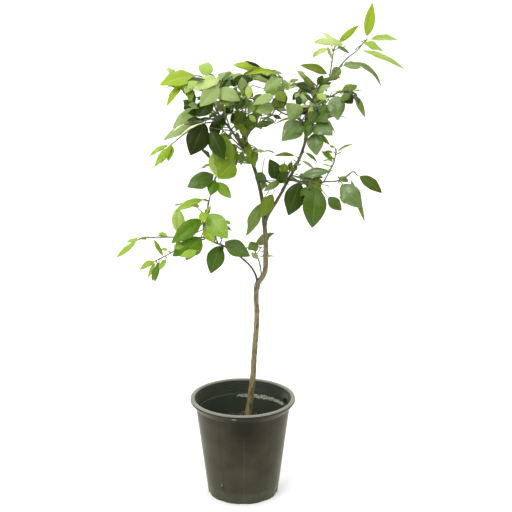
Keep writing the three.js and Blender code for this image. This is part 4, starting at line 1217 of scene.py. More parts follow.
# A bud's rings, as (how far out, how far up, radius), each a share of its size.
BUD_RINGS = [(0.4, 0.0, 0.55), (1.4, 0.5, 0.7), (2.2, 1.5, 0.15)]
BUD_SIDES = 6
BUD_SIZE = 1.1
BUD_SPREAD = math.radians(50)


def add_stem(shape, points, foot, tip, knuckles, seed):
    """Adds a green stem with a small knuckle at each place where a leaf leaves it."""
    length = sum((Vector(b) - Vector(a)).length for a, b in zip(points, points[1:]))
    count = max(4, round(length / STEM_RING_STEP))
    places = [i / count for i in range(count + 1)]
    radii = []
    for t in places:
        swell = sum(math.exp(-((t - at) * length / KNUCKLE_LENGTH) ** 2) for at in knuckles)
        uneven = 1 + STEM_UNEVEN * noise.noise(Vector((t * length / STEM_UNEVEN_LENGTH, seed * 1.7, 0.5)))
        radii.append(mix(foot, tip, t) * uneven * (1 + KNUCKLE_SWELL * min(swell, KNUCKLE_MOST)))
    tube(shape, [path_point(points, t) for t in places], radii, STEM_SIDES)
    end = path_point(points, 1)
    ends = [end, end + path_tangent(points, 1) * (STEM_END_LENGTH * tip)]
    tube(shape, ends, [tip * share for share in STEM_END_TAPER], STEM_SIDES)


def add_bud(shape, root, direction):
    """Adds a small pointed bud that sits in the angle over a leaf's root."""
    points = [root + (direction * out + Vector((0, 0, up))) * BUD_SIZE for out, up, _ in BUD_RINGS]
    tube(shape, points, [radius * BUD_SIZE for _, _, radius in BUD_RINGS], BUD_SIDES)


# The first seeds of the leaves given one by one, of those with a root of their own, of the rule's leaves and
# of those on its twigs, and of the spurs and the bare twigs. Each mass has a run of seeds of its own.
SET_SEED, ROOTED_SEED, RULE_SEED, TWIG_SEED = 1000, 3000, 5000, 9000
SPUR_SEED, BARE_SEED = 7, 60
SEEDS_PER_MASS = 40
SEEDS_PER_TWIG = 4
SPUR_LEAST = 2.5
SPUR_BEND = 0.12


def grow_crown():
    """Grows every mass: set leaves first, then the rule's leaves and twigs, then the finer ones that fit."""
    twigs = Shape()
    leaves = {tone: Shape() for tone in LEAF_TONES}
    owners = {tone: set() for tone in LEAF_TONES}
    grown = []

    def put_leaf(mass, leaf, tone, seed, must=False):
        test = leaf_tree(leaf, seed)
        if not must and (leaf["root"].z < MASSES[mass].get("bare", 0) or runs_through(test, grown)):
            return False
        grown.append(test)
        add_leaf(leaves[tone], leaf, seed)
        owners[tone].add(mass)
        return True

    for number, (name, mass) in enumerate(MASSES.items()):
        stem = mass["stem"]
        run = SEEDS_PER_MASS * number
        for i, (at, x, y, z, width, facing, tone, *form) in enumerate(mass.get("leaves", ())):
            leaf = set_leaf(path_point(stem, min(at, LAST_ROOT)), (x, y, z), width, facing, *form)
            put_leaf(name, leaf, tone, SET_SEED + run + i, must=True)
        for i, (at, root, tip, width, facing, tone, *form) in enumerate(mass.get("more", ())):
            leaf = set_leaf(root, tip, width, facing, *form)
            put_leaf(name, leaf, tone, ROOTED_SEED + run + i, must=True)
            foot = path_point(stem, at)
            reach = (leaf["root"] - foot).length
            if reach > SPUR_LEAST:
                bend = foot.lerp(leaf["root"], 0.5) + path_tangent(stem, at) * (SPUR_BEND * reach)
                add_stem(twigs, [foot, bend, leaf["root"]], STEM_TIP, SIDE_TIP, [LAST_ROOT], SPUR_SEED + i)
    for i, path in enumerate(BARE_TWIGS):
        add_stem(twigs, path, STEM_TIP, SIDE_TIP, [0.3, 0.62, LAST_ROOT], BARE_SEED + i)
    for number, (name, mass) in enumerate(MASSES.items()):
        count, length, seed, tones = mass["grow"]
        stem = mass["stem"]
        run = SEEDS_PER_MASS * number
        side_twigs, rule_leaves = growth(stem, count, length, seed)
        for i, leaf in enumerate(rule_leaves):
            put_leaf(name, leaf, tones[i % len(tones)], RULE_SEED + run + i)
        for i, twig in enumerate(side_twigs + finer_growth(stem, count, length, seed)):
            first = TWIG_SEED + run + SEEDS_PER_TWIG * i
            used = [put_leaf(name, leaf, tones[(i + j + 1) % len(tones)], first + j)
                    for j, leaf in enumerate(twig["leaves"])]
            if any(used):
                points = [twig["root"], twig["root"].lerp(twig["end"], 0.5), twig["end"]]
                add_stem(twigs, points, STEM_TIP, SIDE_TIP, [0.6, LAST_ROOT], seed + i)
        knuckles = [min(entry[0], LAST_ROOT) for entry in mass.get("leaves", ())]
        knuckles += [GROW_FROM + (1 - GROW_FROM) * (i + 0.5) / count for i in range(count)]
        add_stem(twigs, stem, STEM_FOOT, STEM_TIP, knuckles, seed)
        for i, at in enumerate(knuckles):
            direction = leaving(path_tangent(stem, at), seed + i * GOLDEN_ANGLE, BUD_SPREAD)
            add_bud(twigs, path_point(stem, at), direction)
    return twigs, leaves, owners


# The bark's relief: long ridges, fine cracks and broad lumps, as (how fine round the limb, length along it,
# share, how far the seed moves it), and the knots where old leaves were.
BARK_RING_STEP = 2.2
BARK_LAYERS = [(2.2, 26, 0.5, 1), (6.5, 5, 0.3, 1), (0.8, 17, 0.8, 3)]
KNOT_FIRST, KNOT_STEP = 18, 31
KNOT_LENGTH = 3.2
KNOT_REACH = 9
KNOT_HEIGHT = 0.16
KNOT_DRAW = 7
COLLAR_FADE = 7.0
BOUGH_COLLAR = 0.45
TRUNK_SIDES = 40
BOUGH_SIDES = 18
TRUNK_SEED, BOUGH_SEED = 1, 11


def add_limb(shape, points, radius_at, sides, seed, relief, collar):
    """Adds a limb with its bark's relief, its knots and a collar at its foot."""
    spans = len(points) - 1
    places = []
    for i in range(spans):
        span = Vector(points[i + 1][:3]) - Vector(points[i][:3])
        steps = max(2, round(span.length / BARK_RING_STEP))
        places.extend((i + k / steps) / spans for k in range(steps))
    places.append(1.0)
    rings = []
    travelled = 0.0
    before = path_point(points, 0)
    for t in places:
        point = path_point(points, t)
        travelled += (point - before).length
        before = point
        rings.append((t, point, travelled))
    knots = [(at, math.tau * chance(seed, k, KNOT_DRAW))
             for k, at in enumerate(range(KNOT_FIRST, int(travelled), KNOT_STEP))]
    vertices = []
    across = None
    for t, point, distance in rings:
        along = path_tangent(points, t)
        across = carried(across, along)
        up = along.cross(across)
        radius = radius_at(t) * (1 + collar * math.exp(-distance / COLLAR_FADE))
        for k in range(sides):
            angle = math.tau * k / sides
            x, y = math.cos(angle), math.sin(angle)
            rough = sum(share * noise.noise(Vector((x * fine, y * fine, distance / length + move * seed)))
                        for fine, length, share, move in BARK_LAYERS)
            knot = sum(math.exp(-((distance - at) / KNOT_LENGTH) ** 2) * max(0.0, math.cos(angle - turn)) ** 2
                       for at, turn in knots if abs(distance - at) < KNOT_REACH)
            height = relief * rough + KNOT_HEIGHT * knot
            vertices.append(point + (across * x + up * y) * (radius * (1 + height)))
    shape.add(vertices, tube_faces(len(rings), sides))


def limb_radius(path, foot=None, tip=None):
    """How a limb's radius runs along it: from foot to tip, or through the radii in the path's own points."""
    if foot is not None:
        return lambda t: mix(foot, tip, t)
    radii = [point[3] for point in path]

    def through_points(t):
        place = t * (len(radii) - 1)
        index = min(int(place), len(radii) - 2)
        return mix(radii[index], radii[index + 1], place - index)

    return through_points


# The pot's outline from the middle of the underside, up the outside, over the lip and down the inside, as
# [radius, height, rounding, place of the material of what follows, longest row of what follows].
OUTSIDE, LIP, INSIDE = 0, 1, 2
POT_OUTLINE = [
    (0, 0, 0, OUTSIDE, 12), (90.2, 0, 1.8, OUTSIDE, 5), (93.0, 22.6, 0, OUTSIDE, 2),
    (93.2, 24.6, 0, OUTSIDE, 4), (93.7, 28, 0.4, OUTSIDE, 4), (94.3, 28.6, 0.4, OUTSIDE, 10),
    (120.6, 236.8, 0.9, OUTSIDE, 4), (123.4, 238.8, 1.2, OUTSIDE, 4), (132.6, 250.4, 1.4, OUTSIDE, 4),
    (135, 253.2, 1.5, OUTSIDE, 4), (134.3, 260, 2.6, LIP, 4), (124.2, 260, 1.8, LIP, 4),
    (123.5, 256, 0.5, INSIDE, 1),
    (117.2, 223.4, 0.5, INSIDE, 1), (115.2, 221.5, 0.7, INSIDE, 10), (87.7, 3.5, 3, INSIDE, 12),
    (0, 3.5, 0, INSIDE, 12),
]
POT_TURNS = 288
ROUND_STEPS = 4
POCKETS = 10
POCKET_HALF_WIDTH = 10.0
POCKET_TOP = 23.6
POCKET_DEPTH = 1.6
FOOT_RADIUS = 90.2
DRAINS = 8
DRAIN_RADIUS = 7.0
DRAIN_CIRCLE = 59.0
DRAIN_CUT = 8
DRAIN_SIDES = 32

# The rings run round the inside of the collar, whose wall leans out from its foot. The dimple is in it too.
COLLAR_LOW, COLLAR_HIGH = 228.0, 254.0
COLLAR_FOOT = 223.4
COLLAR_FOOT_RADIUS = 117.3
COLLAR_LEAN = 0.194
COLLAR_RING_STEP = 4.0
COLLAR_RING_DEPTH = 0.9
DIMPLE = (111.4, 39.8, 231.0)
DIMPLE_RADIUS = 12.0
DIMPLE_DEPTH = 0.9


def rounded_rows(outline):
    """The rows of a turned body, as [radius, height, material place], with its corners rounded."""
    path = []
    for i, (radius, height, rounding, place, step) in enumerate(outline):
        corner = Vector((radius, height))
        if rounding == 0:
            path.append((corner, place, step))
            continue
        start = corner + (Vector(outline[i - 1][:2]) - corner).normalized() * rounding
        finish = corner + (Vector(outline[i + 1][:2]) - corner).normalized() * rounding
        for k in range(ROUND_STEPS + 1):
            share = k / ROUND_STEPS
            bend = start * (1 - share) ** 2 + corner * 2 * share * (1 - share) + finish * share ** 2
            path.append((bend, place, step))
    rows = []
    for (a, place, step), (b, _, _) in zip(path, path[1:]):
        count = max(1, math.ceil((b - a).length / step))
        rows.extend((*a.lerp(b, k / count), place) for k in range(count))
    rows.append((*path[-1][0], path[-1][1]))
    return rows


def turned(shape, rows, turns, shaped):
    """Adds a body turned round +Z from rows that start and end on the axis. shaped places each vertex."""
    vertices = [Vector((0, 0, rows[0][1]))]
    for radius, height, _ in rows[1:-1]:
        vertices.extend(shaped(radius, height, math.tau * k / turns) for k in range(turns))
    vertices.append(Vector((0, 0, rows[-1][1])))
    last = len(vertices) - 1
    faces = []
    places = []
    for k in range(turns):
        after = (k + 1) % turns
        faces.append((0, 1 + after, 1 + k))
        places.append(rows[0][2])
        for i in range(len(rows) - 3):
            low = 1 + i * turns
            high = low + turns
            faces.append((low + k, low + after, high + after, high + k))
            places.append(rows[i + 1][2])
        faces.append((last, last - turns + k, last - turns + after))
        places.append(rows[-2][2])
    shape.add(vertices, faces, places)


def pot_vertex(radius, height, angle):
    """A place on the pot's skin, with the pockets round its foot, the rings in its collar and one dimple."""
    if height < POCKET_TOP + 1 and radius > FOOT_RADIUS - 2:
        turn = (angle * POCKETS / math.tau) % 1 - 0.5
        aside = abs(turn) * math.tau * FOOT_RADIUS / POCKETS
        inside = 1 - smooth_step(POCKET_HALF_WIDTH - 1, POCKET_HALF_WIDTH + 1, aside)
        radius -= POCKET_DEPTH * inside * (1 - smooth_step(POCKET_TOP - 1, POCKET_TOP + 1, height))
    inner_radius = COLLAR_FOOT_RADIUS + COLLAR_LEAN * (height - COLLAR_FOOT)
    on_collar = COLLAR_LOW < height < COLLAR_HIGH and radius < inner_radius
    if on_collar:
        radius += COLLAR_RING_DEPTH * math.sin(math.tau * height / COLLAR_RING_STEP)
    outward = Vector((math.cos(angle), math.sin(angle), 0))
    place = outward * radius + Vector((0, 0, height))
    away = (place - Vector(DIMPLE)).length / DIMPLE_RADIUS
    if away < 1 and on_collar:
        place += outward * (DIMPLE_DEPTH * smooth_step(1.0, 0.5, away))
    return place


def cut_drains(piece):
    """Cuts the drainage holes through the pot's floor, at even turns on a circle."""
    cutter_shape = Shape()
    for i in range(DRAINS):
        angle = math.tau * i / DRAINS
        centre = Vector((math.cos(angle), math.sin(angle), 0)) * DRAIN_CIRCLE
        reach = Vector((0, 0, DRAIN_CUT))
        tube(cutter_shape, [centre - reach, centre + reach], [DRAIN_RADIUS, DRAIN_RADIUS], DRAIN_SIDES)
    mesh = bpy.data.meshes.new("cutter")
    mesh.from_pydata([v * MM for v in cutter_shape.vertices], [], cutter_shape.faces)
    cutter = bpy.data.objects.new("cutter", mesh)
    bpy.context.scene.collection.objects.link(cutter)
    holes = piece.modifiers.new("holes", "BOOLEAN")
    holes.object = cutter
    holes.operation = "DIFFERENCE"
    holes.solver = "EXACT"
    bpy.context.view_layer.update()
    whole = piece.evaluated_get(bpy.context.evaluated_depsgraph_get())
    cut = bpy.data.meshes.new_from_object(whole)
    piece.modifiers.clear()
    piece.data = cut
    bpy.data.objects.remove(cutter)
    bpy.data.meshes.remove(mesh)


# How rough a lump is, how fine its bumps are, and how far each seed moves them.
LUMP_ROUGHNESS = 0.55
LUMP_FINENESS = 1.3
LUMP_MOVE = (3.7, 1.9)


def lump(shape, centre, size, turn, seed, sides=9, rings=5):
    """Adds one rough lump, such as a chip or a grain of grit, with its own size on each axis and turn."""
    vertices = [Vector((0, 0, -1))]
    for i in range(1, rings + 1):
        slope = math.pi * i / (rings + 1)
        for k in range(sides):
            angle = math.tau * k / sides
            reach = math.sin(slope)
            vertices.append(Vector((reach * math.cos(angle), reach * math.sin(angle), -math.cos(slope))))
    vertices.append(Vector((0, 0, 1)))
    move = Vector((seed * LUMP_MOVE[0], seed * LUMP_MOVE[1], 0))
    placed = []
    for v in vertices:
        rough = 1 + LUMP_ROUGHNESS * noise.noise(v * LUMP_FINENESS + move)
        scaled = Vector((v.x * size[0], v.y * size[1], v.z * size[2])) * rough
        placed.append(centre + turn @ scaled)
    last = len(vertices) - 1
    faces = []
    for k in range(sides):
        after = (k + 1) % sides
        faces.append((0, 1 + after, 1 + k))
        for i in range(rings - 1):
            low = 1 + i * sides
            faces.append((low + k, low + after, low + sides + after, low + sides + k))
        faces.append((last, last - sides + k, last - sides + after))
    shape.add(placed, faces)


# The potting mix: its top is flat in the middle, a little lower at the wall, and rough everywhere.
SOIL_BOTTOM = 3.8
SOIL_FLAT_RADIUS = 45
SOIL_SLOPE_RADIUS = 70
SOIL_EDGE_RADIUS = 108.4
SOIL_BOTTOM_RADIUS = 87.1
SOIL_SAG = 3.5
SOIL_TURNS = 220
SOIL_RINGS = 64
CRUMB_LENGTH, CRUMB_HEIGHT = 3.4, 1.2
HEAP_LENGTH, HEAP_HEIGHT = 13, 2.6


def soil_height(x, y):
    """The height of the potting mix at a place, with low heaps and fine crumbs."""
    reach = math.hypot(x, y)
    level = SOIL_LEVEL - smooth_step(SOIL_FLAT_RADIUS, SOIL_SLOPE_RADIUS, reach)
    level -= SOIL_SAG * smooth_step(SOIL_SLOPE_RADIUS, SOIL_EDGE_RADIUS, reach)
    heap = noise.noise(Vector((x / HEAP_LENGTH, y / HEAP_LENGTH, 0.3)))
    crumb = noise.noise(Vector((x / CRUMB_LENGTH, y / CRUMB_LENGTH, 7.1)))
    return level + HEAP_HEIGHT * heap + CRUMB_HEIGHT * crumb


def soil_vertex(radius, height, angle):
    """A place on the potting mix, which is flat below and rough on top."""
    x, y = radius * math.cos(angle), radius * math.sin(angle)
    return Vector((x, y, soil_height(x, y) if height == SOIL_LEVEL else height))


def soil_shape():
    """The body of the potting mix, which fills the pot up to its level."""
    rows = [(share * SOIL_BOTTOM_RADIUS, SOIL_BOTTOM, 0) for share in (0, 0.5, 1)]
    rows += [(SOIL_EDGE_RADIUS * (1 - i / SOIL_RINGS), SOIL_LEVEL, 0) for i in range(SOIL_RINGS)]
    rows.append((0, soil_height(0, 0), 0))
    shape = Shape()
    turned(shape, rows, SOIL_TURNS, soil_vertex)
    return shape


# What lies on the mix: how near it comes to the trunk and the wall, how wide and how high a lump is for its
# length, how far it tilts, and for chips and grit the least length, the flatness and the seed.
TRUNK_CLEARANCE = 14.0
WALL_CLEARANCE = 5
LUMP_WIDTHS = (0.45, 0.9)
LUMP_HEIGHTS = (0.7, 1.3)
LUMP_TILT = 0.6
CHIP_LEAST, CHIP_FLATNESS, CHIP_SEED = 5, 0.3, 71
GRIT_LEAST, GRIT_FLATNESS, GRIT_SEED = 2, 0.75, 83


def scattered(count, smallest, largest, flatness, seed):
    """Lumps strewn over the potting mix, lying every way, away from the trunk."""
    shape = Shape()
    trunk = Vector(TRUNK[1][:2])
    for i in range(count):
        radius = (SOIL_EDGE_RADIUS - WALL_CLEARANCE) * math.sqrt(chance(seed, i, 1))
        angle = math.tau * chance(seed, i, 2)
        x, y = radius * math.cos(angle), radius * math.sin(angle)
        if (Vector((x, y)) - trunk).length < TRUNK_CLEARANCE:
            continue
        long = mix(smallest, largest, chance(seed, i, 3) ** 2) / 2
        wide = long * mix(*LUMP_WIDTHS, chance(seed, i, 4))
        high = long * flatness * mix(*LUMP_HEIGHTS, chance(seed, i, 5))
        heading = Matrix.Rotation(math.tau * chance(seed, i, 6), 3, "Z")
        tilt = Matrix.Rotation(mix(-LUMP_TILT, LUMP_TILT, chance(seed, i, 7)), 3, "X")
        centre = Vector((x, y, soil_height(x, y) + high * 0.5))
        lump(shape, centre, (long, wide, high), heading @ tilt, seed + i)
    return shape


# The limescale lies on the wall just under the ledge, at the back right: from and to in degrees, where it is
# thickest and how soon it thins out to the right and to the left, its radius at the ledge, how far the wall
# leans in below, its heights at both ends and how far it spreads up and down.
CRUST_SEED = 61
CRUST_FROM, CRUST_TO = 24.0, 99.0
CRUST_THICKEST = 72.0
CRUST_THINS_RIGHT, CRUST_THINS_LEFT = 1.15, 2.6
CRUST_RADIUS = 115.1
CRUST_HEIGHT = 221.5
CRUST_LEAN = 0.126
CRUST_LEFT, CRUST_RIGHT = 216.5, 219.0
CRUST_SPREAD = (2.5, 6.0)
CRUST_PATCH = 4.5
FLAKE_LENGTHS = (0.8, 2.0)
FLAKE_GROWTH = (0.7, 1.2)
FLAKE_SHAPE = (0.5, 1.0, 0.55)
FLAKE_TILT = 0.8
FLAKE_SIDES, FLAKE_RINGS = 7, 3


def limescale_shape(count):
    """Small flakes of limescale on the wall just under the ledge, in patches that thin out to both ends."""
    shape = Shape()
    for i in range(count):
        share = chance(CRUST_SEED, i, 1)
        angle = mix(CRUST_FROM, CRUST_TO, share)
        reach = (angle - CRUST_THICKEST) / (CRUST_TO - CRUST_FROM)
        density = math.exp(-(reach * (CRUST_THINS_LEFT if reach > 0 else CRUST_THINS_RIGHT)) ** 2)
        patchy = 0.5 + 0.8 * noise.noise(Vector((angle / CRUST_PATCH, 2.2, 0)))
        if chance(CRUST_SEED, i, 2) > density * 0.8 + patchy * 0.4:
            continue
        turn = math.radians(angle)
        height = mix(CRUST_RIGHT, CRUST_LEFT, share)
        height += mix(*CRUST_SPREAD, density) * (chance(CRUST_SEED, i, 3) + chance(CRUST_SEED, i, 6) - 1)
        radius = CRUST_RADIUS - CRUST_LEAN * (CRUST_HEIGHT - height)
        centre = Vector((radius * math.cos(turn), radius * math.sin(turn), height))
        long = mix(*FLAKE_LENGTHS, chance(CRUST_SEED, i, 4)) * mix(*FLAKE_GROWTH, density)
        size = tuple(long * side for side in FLAKE_SHAPE)
        tilt = Matrix.Rotation(mix(-FLAKE_TILT, FLAKE_TILT, chance(CRUST_SEED, i, 5)), 3, "X")
        lump(shape, centre, size, Matrix.Rotation(turn, 3, "Z") @ tilt, i, FLAKE_SIDES, FLAKE_RINGS)
    return shape


# Where the pot is marked, and where shade and highlights are painted on it: seams as (degrees from the front,
# strength, colour), and marks as (centre, size, share of the size where it is still whole, strength, colour).
POT_SEAMS = [(2.2, 0.25, "#5C5A46"), (-30.0, 0.5, "#17170F"), (37.0, 0.4, "#17170F"), (-12.0, 0.2, "#2A291F")]
POT_MARKS_AND_PAINTED_LIGHT = [
    # Painted shade and painted reflection: the front of the wall under the lip is darkened for the lip's
    # shadow and the dark room mirrored there.
    ((8, -122, 226), (74, 80, 112), 0.1, 0.92, "#161308"),
    # Painted shade: the collar band under the lip is darkened round the front, where the lip shades it.
    ((0, -100, 246), (200, 90, 9), 0.5, 0.6, "#1D1B12"),
    # Painted shadow: a thin dark line under the lip's flare at the front.
    ((0, -128, 239.5), (84, 40, 4.5), 0.3, 0.75, "#080704"),
    # Painted highlight: a pale fleck of reflected light on the flare under the lip.
    ((-21, -133, 250), (9, 12, 1.9), 0.4, 0.65, "#C9C7B8"),
    ((-54, -79, 49), (1.5, 12, 2.0), 0.5, 0.6, "#DCDACB"),
    ((-50, -80, 43), (3.5, 12, 3.5), 0.6, 0.8, "#14130E"),
]
INSIDE_PAINTED_LIGHT_AND_SHADE = [
    # Painted light: a paler patch on the inner wall at the back right, where light falls into the pot.
    ((112, 46, 240), (24, 44, 17), 0.2, 0.7, "#5F6657"),
    # Painted shade: the shallow dimple is painted nearly black, as the shade in a hole.
    (DIMPLE, (18, 23, 8), 0.6, 1.0, "#050605"),
]


def colour_property(name, description, hex_colour):
    """A colour that the user can change, given in sRGB hex and kept as linear values."""
    return FloatVectorProperty(name=name, description=description, subtype="COLOR", size=3, min=0, max=1,
                               default=linear(hex_colour))


class PotSettings(bpy.types.PropertyGroup):
    """The pot and what clings to it."""

    outside: colour_property("Outside", "Colour of the pot's outer wall", "#302C1D")
    inside: colour_property("Inside", "Colour of the pot's inner wall", "#373F34")
    # The lip's colour is paler than the wall as painted light: its top faces up into the light.
    lip: colour_property("Lip", "Colour of the lip, painted paler on top where light falls", "#7F8276")
    faded: colour_property("Faded", "Colour where the sun has faded the plastic", "#4C4E3B")
    scuff: colour_property("Scuffs", "Colour of the small scuffs", "#57553F")
    dust: colour_property("Dust", "Colour of the film of dust on the plastic", "#F2EDCF")
    roughness: FloatProperty(name="Roughness", description="How dull the plastic is", subtype="FACTOR",
                             min=0, max=1, default=0.42)
    limescale: colour_property("Limescale", "Colour of the hard-water crust", "#D9D8CC")
    limescale_gaps: colour_property("Limescale gaps", "Colour between the grains of the crust", "#8F8F80")
    flakes: IntProperty(name="Flakes", description="How many flakes of limescale are tried", min=0, max=2000,
                        default=620)


class SoilSettings(bpy.types.PropertyGroup):
    """The potting mix and what lies on it."""

    mix: colour_property("Potting mix", "Colour of the damp peat and bark", "#3E3A2B")
    dark: colour_property("Gaps", "Colour between the grains", "#231B14")
    chip: colour_property("Bark chips", "Colour of the bark chips", "#4D4736")
    pumice: colour_property("Pumice", "Colour of the pumice grit", "#A7A393")
    pumice_gaps: colour_property("Pumice gaps", "Colour of the pores in the pumice", "#6F6B5E")
    chips: IntProperty(name="Chips", description="How many bark chips are strewn", min=0, max=2000,
                       default=340)
    chip_length: FloatProperty(name="Chip length", description="Length of the longest bark chip",
                               subtype="DISTANCE", min=0.005, max=0.04, default=0.017)
    grit: IntProperty(name="Grit", description="How many grains of pumice are strewn", min=0, max=2000,
                      default=170)
    grit_size: FloatProperty(name="Grit size", description="Length of the largest grain of pumice",
                             subtype="DISTANCE", min=0.002, max=0.02, default=0.006)


class BarkSettings(bpy.types.PropertyGroup):
    """The bark of the trunk and the boughs."""

    low: colour_property("Low trunk", "Colour of the bark near the ground", "#8D7E57")
    high: colour_property("High trunk", "Colour of the bark at the fork", "#736A52")
    bough: colour_property("Boughs", "Colour of the boughs", "#46442B")
    crack: colour_property("Cracks", "Colour of the fine cracks and ridges", "#3C3122")
    green: colour_property("Green", "Colour where the bark is still green", "#666A3E")
    relief: FloatProperty(name="Relief", description="Depth of the bark's ridges as a share of the radius",
                          subtype="FACTOR", min=0, max=0.5, default=0.16)
    low_end: FloatProperty(name="Low end", description="Height where the trunk's low colour ends",
                           subtype="DISTANCE", min=0, max=2, default=0.33)
    high_start: FloatProperty(name="High start", description="Height where the trunk's high colour starts",
                              subtype="DISTANCE", min=0, max=2, default=0.7)


class LeafSettings(bpy.types.PropertyGroup):
    """The leaves and twigs. It also gets three colours for each tone of leaf, just below."""

    translucency: FloatProperty(name="Translucency", description="How much light comes through a leaf",
                                subtype="FACTOR", min=0, max=1, default=0.25)
    roughness: FloatProperty(name="Roughness", description="How dull a leaf's waxy upper face is",
                             subtype="FACTOR", min=0, max=1, default=0.34)
    twig: colour_property("Twigs", "Colour of this year's twigs", "#5F663A")
    twig_dark: colour_property("Twig shade", "Colour of the darker mottling of the twigs", "#40442F")


LEAF_PARTS = ("upper", "under", "rib")
for tone_name, tone_colours in LEAF_TONES.items():
    for part_name, part_colour in zip(LEAF_PARTS, tone_colours):
        LeafSettings.__annotations__[f"{tone_name}_{part_name}"] = colour_property(
            f"{tone_name.capitalize()} {part_name}", f"The {part_name} of {tone_name} leaves", part_colour)


class StageSettings(bpy.types.PropertyGroup):
    """The floor, the light and the camera."""

    floor: colour_property("Floor", "Colour of the floor", "#F6F6F4")
    front: FloatProperty(name="Front", description="Strength of the light from the room before the tree",
                         min=0, default=0.3)
    back: FloatProperty(name="Back", description="Strength of the light from the wall behind it", min=0,
                        default=1.0)
    top: FloatProperty(name="Top", description="Strength added by the ceiling", min=0, default=1.5)
    lamp: FloatProperty(name="Lamp", description="Power of the soft lamp", unit="POWER", min=0, default=60)
    lens: FloatProperty(name="Lens", description="Focal length", subtype="DISTANCE_CAMERA", min=1,
                        default=102.66)


class LEMON_OT_pot(bpy.types.Operator):
    """Turns the pot, with its lip, ledge, foot and drainage holes"""

    bl_idname = "lemon.pot"
    bl_label = "Pot"

    def execute(self, context):
        settings = context.scene.lemon_pot
        materials = [
            moulded_polypropylene("polypropylene_outside", settings, settings.outside, POT_MARKS_AND_PAINTED_LIGHT, POT_SEAMS),
            # The lip gets its own paler colour as painted light on its upward face.
            moulded_polypropylene("polypropylene_lip_painted_light", settings, settings.lip),
            moulded_polypropylene("polypropylene_inside", settings, settings.inside, INSIDE_PAINTED_LIGHT_AND_SHADE),
        ]
        shape = Shape()
        turned(shape, rounded_rows(POT_OUTLINE), POT_TURNS, pot_vertex)
        piece = make_piece("pot_moulded", shape, materials, ("pot",))
        cut_drains(piece)
        return {"FINISHED"}


class LEMON_OT_limescale(bpy.types.Operator):
    """Sets the white hard-water crust on the wall under the pot's ledge"""

    bl_idname = "lemon.limescale"
    bl_label = "Limescale"

    def execute(self, context):
        settings = context.scene.lemon_pot
        material = granular("limescale", settings.limescale, settings.limescale_gaps, grain_size=1.5,
                            roughness=0.9, depth=0.4)
        make_piece("limescale", limescale_shape(settings.flakes), [material])
        return {"FINISHED"}


class LEMON_OT_soil(bpy.types.Operator):
    """Fills the pot with potting mix and strews bark chips and pumice grit over it"""

    bl_idname = "lemon.soil"
    bl_label = "Potting mix"

    def execute(self, context):
        settings = context.scene.lemon_soil
        ground = granular("potting_mix", settings.mix, settings.dark, grain_size=2.6, roughness=0.95,
                          depth=1.2)
        bark = granular("composted_bark_chip", settings.chip, settings.dark, grain_size=3.5, roughness=0.9,
                        depth=0.8)
        pumice = granular("pumice_grit", settings.pumice, settings.pumice_gaps, grain_size=1.6,
                          roughness=0.95, depth=0.5)
        chips = scattered(settings.chips, CHIP_LEAST, settings.chip_length / MM, CHIP_FLATNESS, CHIP_SEED)
        grit = scattered(settings.grit, GRIT_LEAST, settings.grit_size / MM, GRIT_FLATNESS, GRIT_SEED)
        make_piece("potting_mix", soil_shape(), [ground], ("soil",))
        make_piece("bark_chips", chips, [bark])
        make_piece("pumice_grit", grit, [pumice])
        return {"FINISHED"}


class LEMON_OT_limbs(bpy.types.Operator):
    """Shapes the trunk and the boughs with their bark"""

    bl_idname = "lemon.limbs"
    bl_label = "Trunk and boughs"

    def execute(self, context):
        settings = context.scene.lemon_bark
        relief = settings.relief
        trunk_bark = young_citrus_bark("young_citrus_bark_trunk", settings, settings.low, settings.high)
        bough_bark = young_citrus_bark("young_citrus_bark_boughs", settings, settings.bough, settings.bough)
        trunk = Shape()
        add_limb(trunk, TRUNK, limb_radius(TRUNK), TRUNK_SIDES, TRUNK_SEED, relief, 0.0)
        make_piece("trunk_bark", trunk, [trunk_bark], ("trunk",))
        boughs = Shape()
        for i, (points, foot, tip) in enumerate(BOUGHS.values()):
            radius_at = limb_radius(points, foot, tip)
            add_limb(boughs, points, radius_at, BOUGH_SIDES, BOUGH_SEED + i, relief, BOUGH_COLLAR)
        make_piece("bough_bark", boughs, [bough_bark], tuple(BOUGHS))
        return {"FINISHED"}


class LEMON_OT_foliage(bpy.types.Operator):
    """Grows the twigs and the leaves of every mass"""

    bl_idname = "lemon.foliage"
    bl_label = "Twigs and leaves"

    def execute(self, context):
        settings = context.scene.lemon_leaf
        twigs, leaves, owners = grow_crown()
        rind = green_rind("green_citrus_twig", settings.twig, settings.twig_dark)
        make_piece("twigs", twigs, [rind], tuple(MASSES))
        for tone, shape in leaves.items():
            upper, under, rib = (getattr(settings, f"{tone}_{part}") for part in LEAF_PARTS)
            wax = LEAF_TONES[tone][3]
            dull = (UNDER_ROUGHNESS, UNDER_WAX * wax)
            materials = [
                citrus_leaf(f"citrus_leaf_{tone}_upper", settings, upper, rib, settings.roughness, wax),
                citrus_leaf(f"citrus_leaf_{tone}_under", settings, under, rib, *dull),
                green_rind(f"citrus_midrib_{tone}", rib, upper),
            ]
            make_piece(f"leaves_{tone}", shape, materials, tuple(sorted(owners[tone])))
        return {"FINISHED"}


# The stage, in metres and degrees, and the width of the camera's sensor in millimetres.
FLOOR_HALF_SIZE = 900.0
LAMP_PLACE = (-1.6, -2.2, 2.9)
LAMP_AIM = (0.05, 0, 0.7)
LAMP_SIZE = 1.8
CAMERA_PLACE = (0.0338, -3.5, 1.66)
CAMERA_TILT = 73.7
SENSOR_WIDTH = 36


